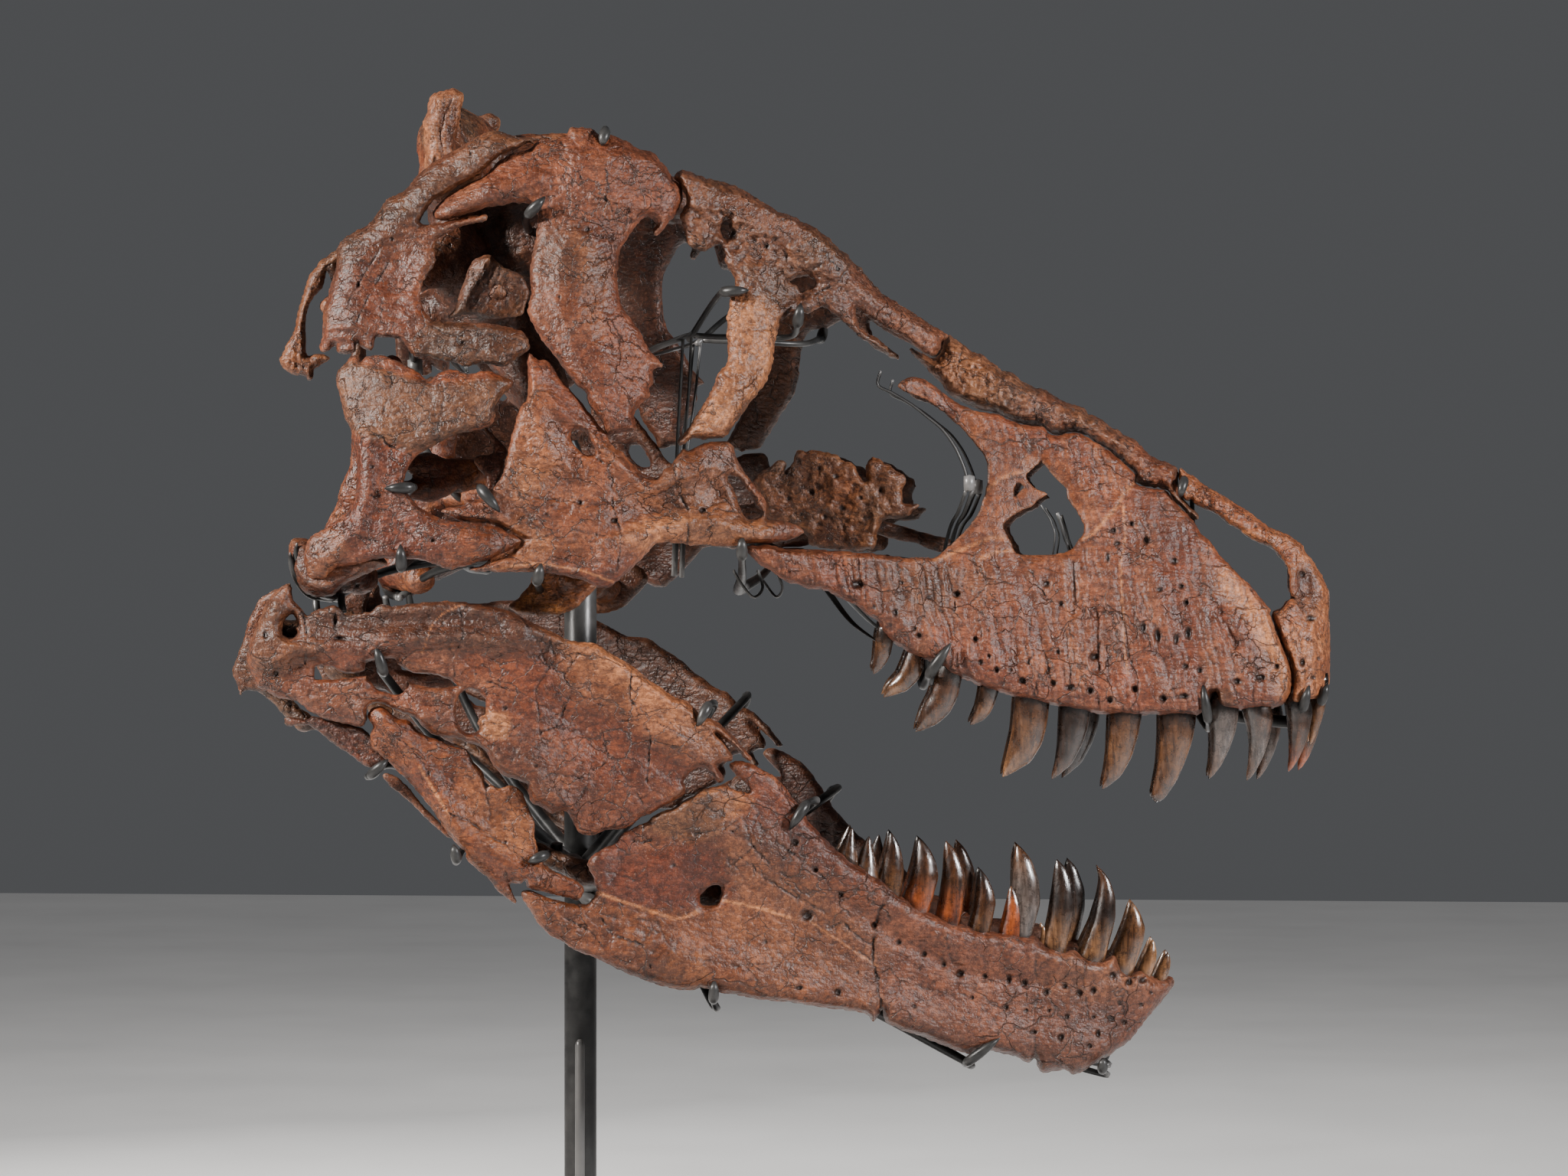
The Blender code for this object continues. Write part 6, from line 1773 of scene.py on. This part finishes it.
# Clips as (butt, tip, radius, arm), where the arm is (u, v, y, radius) from the armature outwards.
HEAD_CLAWS = (
    ((533, 637), (502, 638), 0.0074, ((470, 560, -0.24, 0.005), (520, 640, -0.25, 0.005))),
    ((524, 738), (523, 711), 0.0074,
     ((640, 700, -0.02, 0.008), (560, 715, -0.16, 0.006), (528, 738, -0.26, 0.005))),
    ((631, 642), (653, 669), 0.0074,
     ((700, 690, -0.02, 0.008), (650, 660, -0.18, 0.006), (630, 640, -0.27, 0.005))),
    ((693, 277), (712, 257), 0.0074, ((690, 300, -0.06, 0.006), (686, 286, -0.16, 0.005))),
    ((790, 174), (786, 190), 0.0074, ((792, 236, -0.06, 0.006), (794, 200, -0.15, 0.005))),
    ((949, 381), (978, 379), 0.0074, ((900, 444, -0.05, 0.004), (928, 400, -0.12, 0.004))),
    ((1042, 420), (1046, 396), 0.0074, ((960, 440, -0.05, 0.004), (1030, 440, -0.09, 0.004))),
    ((702, 757), (707, 736), 0.0074, ((760, 745, -0.01, 0.008), (716, 778, -0.18, 0.006))),
    ((969, 724), (969, 701), 0.0074, ((965, 770, -0.01, 0.008), (969, 752, -0.14, 0.006))),
    ((1217, 876), (1242, 840), 0.0074, ((1200, 812, -0.01, 0.008), (1204, 892, -0.10, 0.006))),
    ((1577, 935), (1571, 893), 0.0064, ((1560, 920, -0.004, 0.008), (1578, 950, -0.06, 0.006))),
    ((1703, 922), (1710, 895), 0.0064, ((1598, 934, -0.004, 0.008), (1690, 946, -0.02, 0.005))),
    ((1727, 914), (1734, 892), 0.0064, ((1598, 934, -0.004, 0.008), (1712, 940, -0.004, 0.004))),
    ((1546, 630), (1541, 650), 0.0064, ((1560, 800, -0.004, 0.004), (1556, 640, -0.008, 0.003))),
)
JAW_CLAWS = (
    ((500, 874), (490, 843), 0.0070,
     ((758, 1135, -0.01, 0.010), (600, 1000, -0.16, 0.007), (505, 885, -0.27, 0.006))),
    ((923, 925), (911, 949), 0.0070,
     ((758, 1135, -0.01, 0.010), (880, 990, -0.14, 0.007), (930, 925, -0.22, 0.006))),
    ((1050, 1055), (1031, 1084), 0.0070,
     ((758, 1160, -0.01, 0.010), (960, 1110, -0.12, 0.007), (1060, 1050, -0.18, 0.006))),
    ((487, 1010), (507, 992), 0.0070,
     ((758, 1135, -0.01, 0.010), (620, 1060, -0.18, 0.007), (520, 1000, -0.26, 0.006))),
    ((596, 1121), (592, 1103), 0.0070,
     ((758, 1135, -0.01, 0.010), (660, 1110, -0.18, 0.007), (612, 1105, -0.25, 0.005))),
    ((709, 1118), (690, 1126), 0.0070,
     ((758, 1135, -0.01, 0.010), (724, 1112, -0.20, 0.008), (714, 1116, -0.26, 0.006))),
    ((932, 1303), (933, 1280), 0.0070,
     ((758, 1170, -0.01, 0.010), (880, 1230, -0.12, 0.008), (932, 1312, -0.20, 0.006))),
    ((1268, 1384), (1306, 1356), 0.0070,
     ((758, 1170, -0.01, 0.010), (1040, 1270, -0.05, 0.009), (1250, 1380, -0.09, 0.006))),
    ((1440, 1396), (1441, 1382), 0.0070,
     ((1040, 1270, -0.05, 0.009), (1300, 1360, -0.03, 0.007), (1436, 1402, -0.06, 0.004))),
)
# Rods as (sides, flatness, path), where the path is (u, v, y, radius).
RODS = (
    (14, 1.0, ((432, 782, -0.262, 0.005), (404, 776, -0.300, 0.005), (388, 756, -0.318, 0.005),
               (381, 736, -0.330, 0.0046), (379, 722, -0.336, 0.0012))),
    (14, 1.0, ((441, 782, -0.242, 0.005), (413, 773.3, -0.310, 0.005), (393.4, 751.5, -0.318, 0.005),
               (387.3, 727, -0.330, 0.0046), (388, 709.4, -0.336, 0.0012))),
    (14, 1.0, ((432, 782, -0.262, 0.005), (520, 742, -0.18, 0.006), (700, 720, -0.03, 0.008),
               (756, 745, 0, 0.009))),
    (12, 1.0, ((413, 780, -0.262, 0.0045), (413, 790, -0.266, 0.0050), (415, 804, -0.270, 0.0050))),
    (12, 1.0, ((446, 776, -0.262, 0.0045), (446, 786, -0.266, 0.0050), (448, 800, -0.270, 0.0050))),
    (20, 1.0, ((727, 1101, -0.225, 0.0082), (727, 1112, -0.225, 0.0086), (728, 1126, -0.225, 0.0082))),
    (14, 1.0, ((720, 1122, -0.225, 0.0045), (748, 1120, -0.12, 0.0060), (757, 1128, -0.01, 0.008))),
    (12, 0.18, ((842, 462, -0.03, 0.009), (862, 452, -0.06, 0.011), (884, 444, -0.07, 0.011),
                (908, 434, -0.06, 0.006))),
    (10, 1.0, ((892, 443, -0.065, 0.0022), (889, 500, -0.055, 0.0022), (884, 600, -0.03, 0.0025),
               (880, 752, -0.005, 0.0035))),
    (10, 1.0, ((903, 440, -0.06, 0.0018), (899, 520, -0.04, 0.0018), (893, 600, -0.02, 0.002),
               (890, 754, -0.005, 0.003))),
    (10, 1.0, ((906, 438, -0.06, 0.004), (935, 440, -0.055, 0.004), (962, 440, -0.05, 0.004))),
    (12, 0.45, ((1150, 485, -0.1300, 0.0046), (1147, 503, -0.1303, 0.0046), (1165, 513, -0.1285, 0.0046),
                (1190, 528, -0.1260, 0.0046), (1212, 545, -0.1238, 0.0046), (1230, 560, -0.1220, 0.0046),
                (1245, 580, -0.1205, 0.0046), (1255, 600, -0.1195, 0.0046), (1262, 620, -0.1188, 0.0046),
                (1264, 640, -0.1186, 0.0046))),
    (12, 1.0, ((1266, 622, -0.12, 0.0075), (1266, 640, -0.12, 0.0075))),
    (10, 1.0, ((1262, 640, -0.118, 0.0024), (1252, 668, -0.10, 0.0024), (1238, 700, -0.06, 0.0024),
               (1215, 815, -0.005, 0.003))),
    (10, 1.0, ((1270, 640, -0.118, 0.0024), (1260, 668, -0.10, 0.0024), (1246, 700, -0.06, 0.0024),
               (1223, 815, -0.005, 0.003))),
    (10, 0.4, ((1360, 660, -0.10, 0.0030), (1374, 685, -0.10, 0.0030), (1376, 720, -0.09, 0.0030),
               (1350, 860, -0.004, 0.004))),
    (10, 1.0, ((1381, 670, -0.10, 0.0022), (1390, 700, -0.095, 0.0022), (1397, 740, -0.08, 0.0022),
               (1380, 868, -0.004, 0.003))),
    (10, 1.0, ((958, 745, -0.17, 0.0020), (968, 762, -0.175, 0.0020), (984, 780, -0.17, 0.0020),
               (996, 768, -0.15, 0.0020), (990, 745, -0.14, 0.0020))),
    (12, 0.3, ((1060, 742, -0.01, 0.005), (1080, 770, -0.10, 0.005), (1112, 812, -0.165, 0.004),
               (1146, 838, -0.175, 0.002))),
    (14, 1.0, ((542, 470, -0.20, 0.010), (543, 490, -0.20, 0.010))),
    (10, 1.0, ((536, 452, -0.235, 0.0032), (540, 470, -0.215, 0.0032), (560, 440, -0.03, 0.005))),
)


def armature():
    """The spine inside the head, the braincase's arm, both sides' clips and rods, the post and its collar."""
    side_parts = [claw(butt, tip, head_half, stem, radius) for butt, tip, radius, stem in HEAD_CLAWS]
    side_parts += [claw(butt, tip, jaw_half, stem, radius) for butt, tip, radius, stem in JAW_CLAWS]
    side_parts += [swept(lifted(path), sides, flat=flat) for sides, flat, path in RODS]
    post = [(0, 0, z, radius) for z, radius in (
        (FOOT_Z, POST_RADIUS), (0.5, POST_RADIUS), (1.0, POST_RADIUS), (POST_TOP - 0.004, POST_RADIUS),
        (POST_TOP, POST_RADIUS - 0.003))]
    collar = [(0, 0, FOOT_Z + up, radius) for up, radius in (
        (0.0, COLLAR_RADIUS), (0.012, COLLAR_RADIUS), (0.015, COLLAR_RADIUS - 0.002),
        (0.032, COLLAR_TOP_RADIUS + 0.002), (0.034, COLLAR_TOP_RADIUS))]
    return [swept(lifted(HEAD_SPINE), 24), swept(lifted(BRAINCASE_ARM), 18), *side_parts,
            *[mirror(*part) for part in side_parts],
            swept(post, ROUND_SIDES, 1), swept(collar, ROUND_SIDES, 1)]


def guide_rod():
    """The round-topped rod beside the post."""
    return swept([(0.006, -0.052, z, radius) for z, radius in (
        (FOOT_Z, 0.0065), (0.749, 0.0065), (0.7535, 0.0055), (0.757, 0.003))], 24, 1)


mesh_piece("stand_armature_steel", *gathered(armature()), ("stand_armature",), "stand_steel", STEEL)
mesh_piece("stand_guide_rod_steel", *guide_rod(), ("stand_guide_rod",), "stand_steel", STEEL)
mesh_piece("stand_base_steel", *plate(), ("stand_base",), "stand_steel", STEEL, smooth=False)


# ---------------------------------------------------------------- floor, light and camera
FLOOR_HALF = 14.0
SENSOR = 36.0
# Area lights as (name, place, target, size, power, colour, whether they show in reflections).
LIGHTS = (
    ("key", (-3.2, -2.0, 3.2), (0.3, -0.2, 1.4), (0.5, 0.5), 440, (1.0, 0.96, 0.92), True),
    ("fill", (3.7, -1.9, 2.7), (0.3, 0, 1.3), (0.5, 0.5), 270, (0.98, 0.98, 1.0), True),
    ("rim", (1.4, 3.0, 3.4), (0.3, 0, 1.5), (2.0, 1.0), 6, (1.0, 1.0, 1.0), False),
    ("top", (0.3, 4.8, 4.0), (0.3, 4.4, 0.0), (5.0, 3.0), 110, (1.0, 0.99, 0.97), False),
    ("back", (-2.2, 4.2, 2.6), (0.3, 0.1, 1.4), (1.2, 1.2), 150, (1.0, 0.98, 0.95), False),
)


def placed(name, data):
    """An object for the data, in the scene."""
    made = bpy.data.objects.new(name, data)
    bpy.context.scene.collection.objects.link(made)
    return made


def add_floor():
    mesh = bpy.data.meshes.new("floor")
    corners = [(x * FLOOR_HALF, y * FLOOR_HALF, 0) for x, y in ((-1, -1), (1, -1), (1, 1), (-1, 1))]
    mesh.from_pydata(corners, [], [(0, 1, 2, 3)])
    floor = placed("floor", mesh)
    mesh.materials.append(floor_matter())


def add_lights():
    for name, place, target, size, power, colour, reflected in LIGHTS:
        data = bpy.data.lights.new(name, "AREA")
        data.shape, data.size, data.size_y = "RECTANGLE", size[0], size[1]
        data.energy, data.color = power, colour
        light = placed(name, data)
        light.location = place
        light.rotation_mode = "QUATERNION"
        light.rotation_quaternion = (Vector(target) - Vector(place)).to_track_quat("-Z", "Y")
        light.visible_glossy = reflected
    sun = bpy.data.lights.new("sky", "SUN")
    sun.energy, sun.angle = 0.5, 0.7
    placed("sky", sun).rotation_euler = (math.radians(42.0), 0.0, math.radians(-38.0))
    world = bpy.data.worlds.new("studio")
    bpy.context.scene.world = world
    world.use_nodes = True
    background = world.node_tree.nodes["Background"]
    background.inputs["Color"].default_value = (0.80, 0.82, 0.86, 1)
    background.inputs["Strength"].default_value = 0.10


def add_camera():
    lens = bpy.data.cameras.new("camera")
    lens.sensor_width = SENSOR
    lens.lens = DRAWING_SCALE / DRAWING_WIDTH * SENSOR
    lens.clip_start, lens.clip_end = 0.1, 60.0
    lens.dof.use_dof = False
    camera = placed("camera", lens)
    camera.location = (AIM[0] + EYE_DISTANCE * SIN, AIM[1] - EYE_DISTANCE * COS, AIM[2])
    camera.rotation_euler = (math.radians(90.0), 0.0, TURN)
    bpy.context.scene.camera = camera


add_floor()
add_lights()
add_camera()
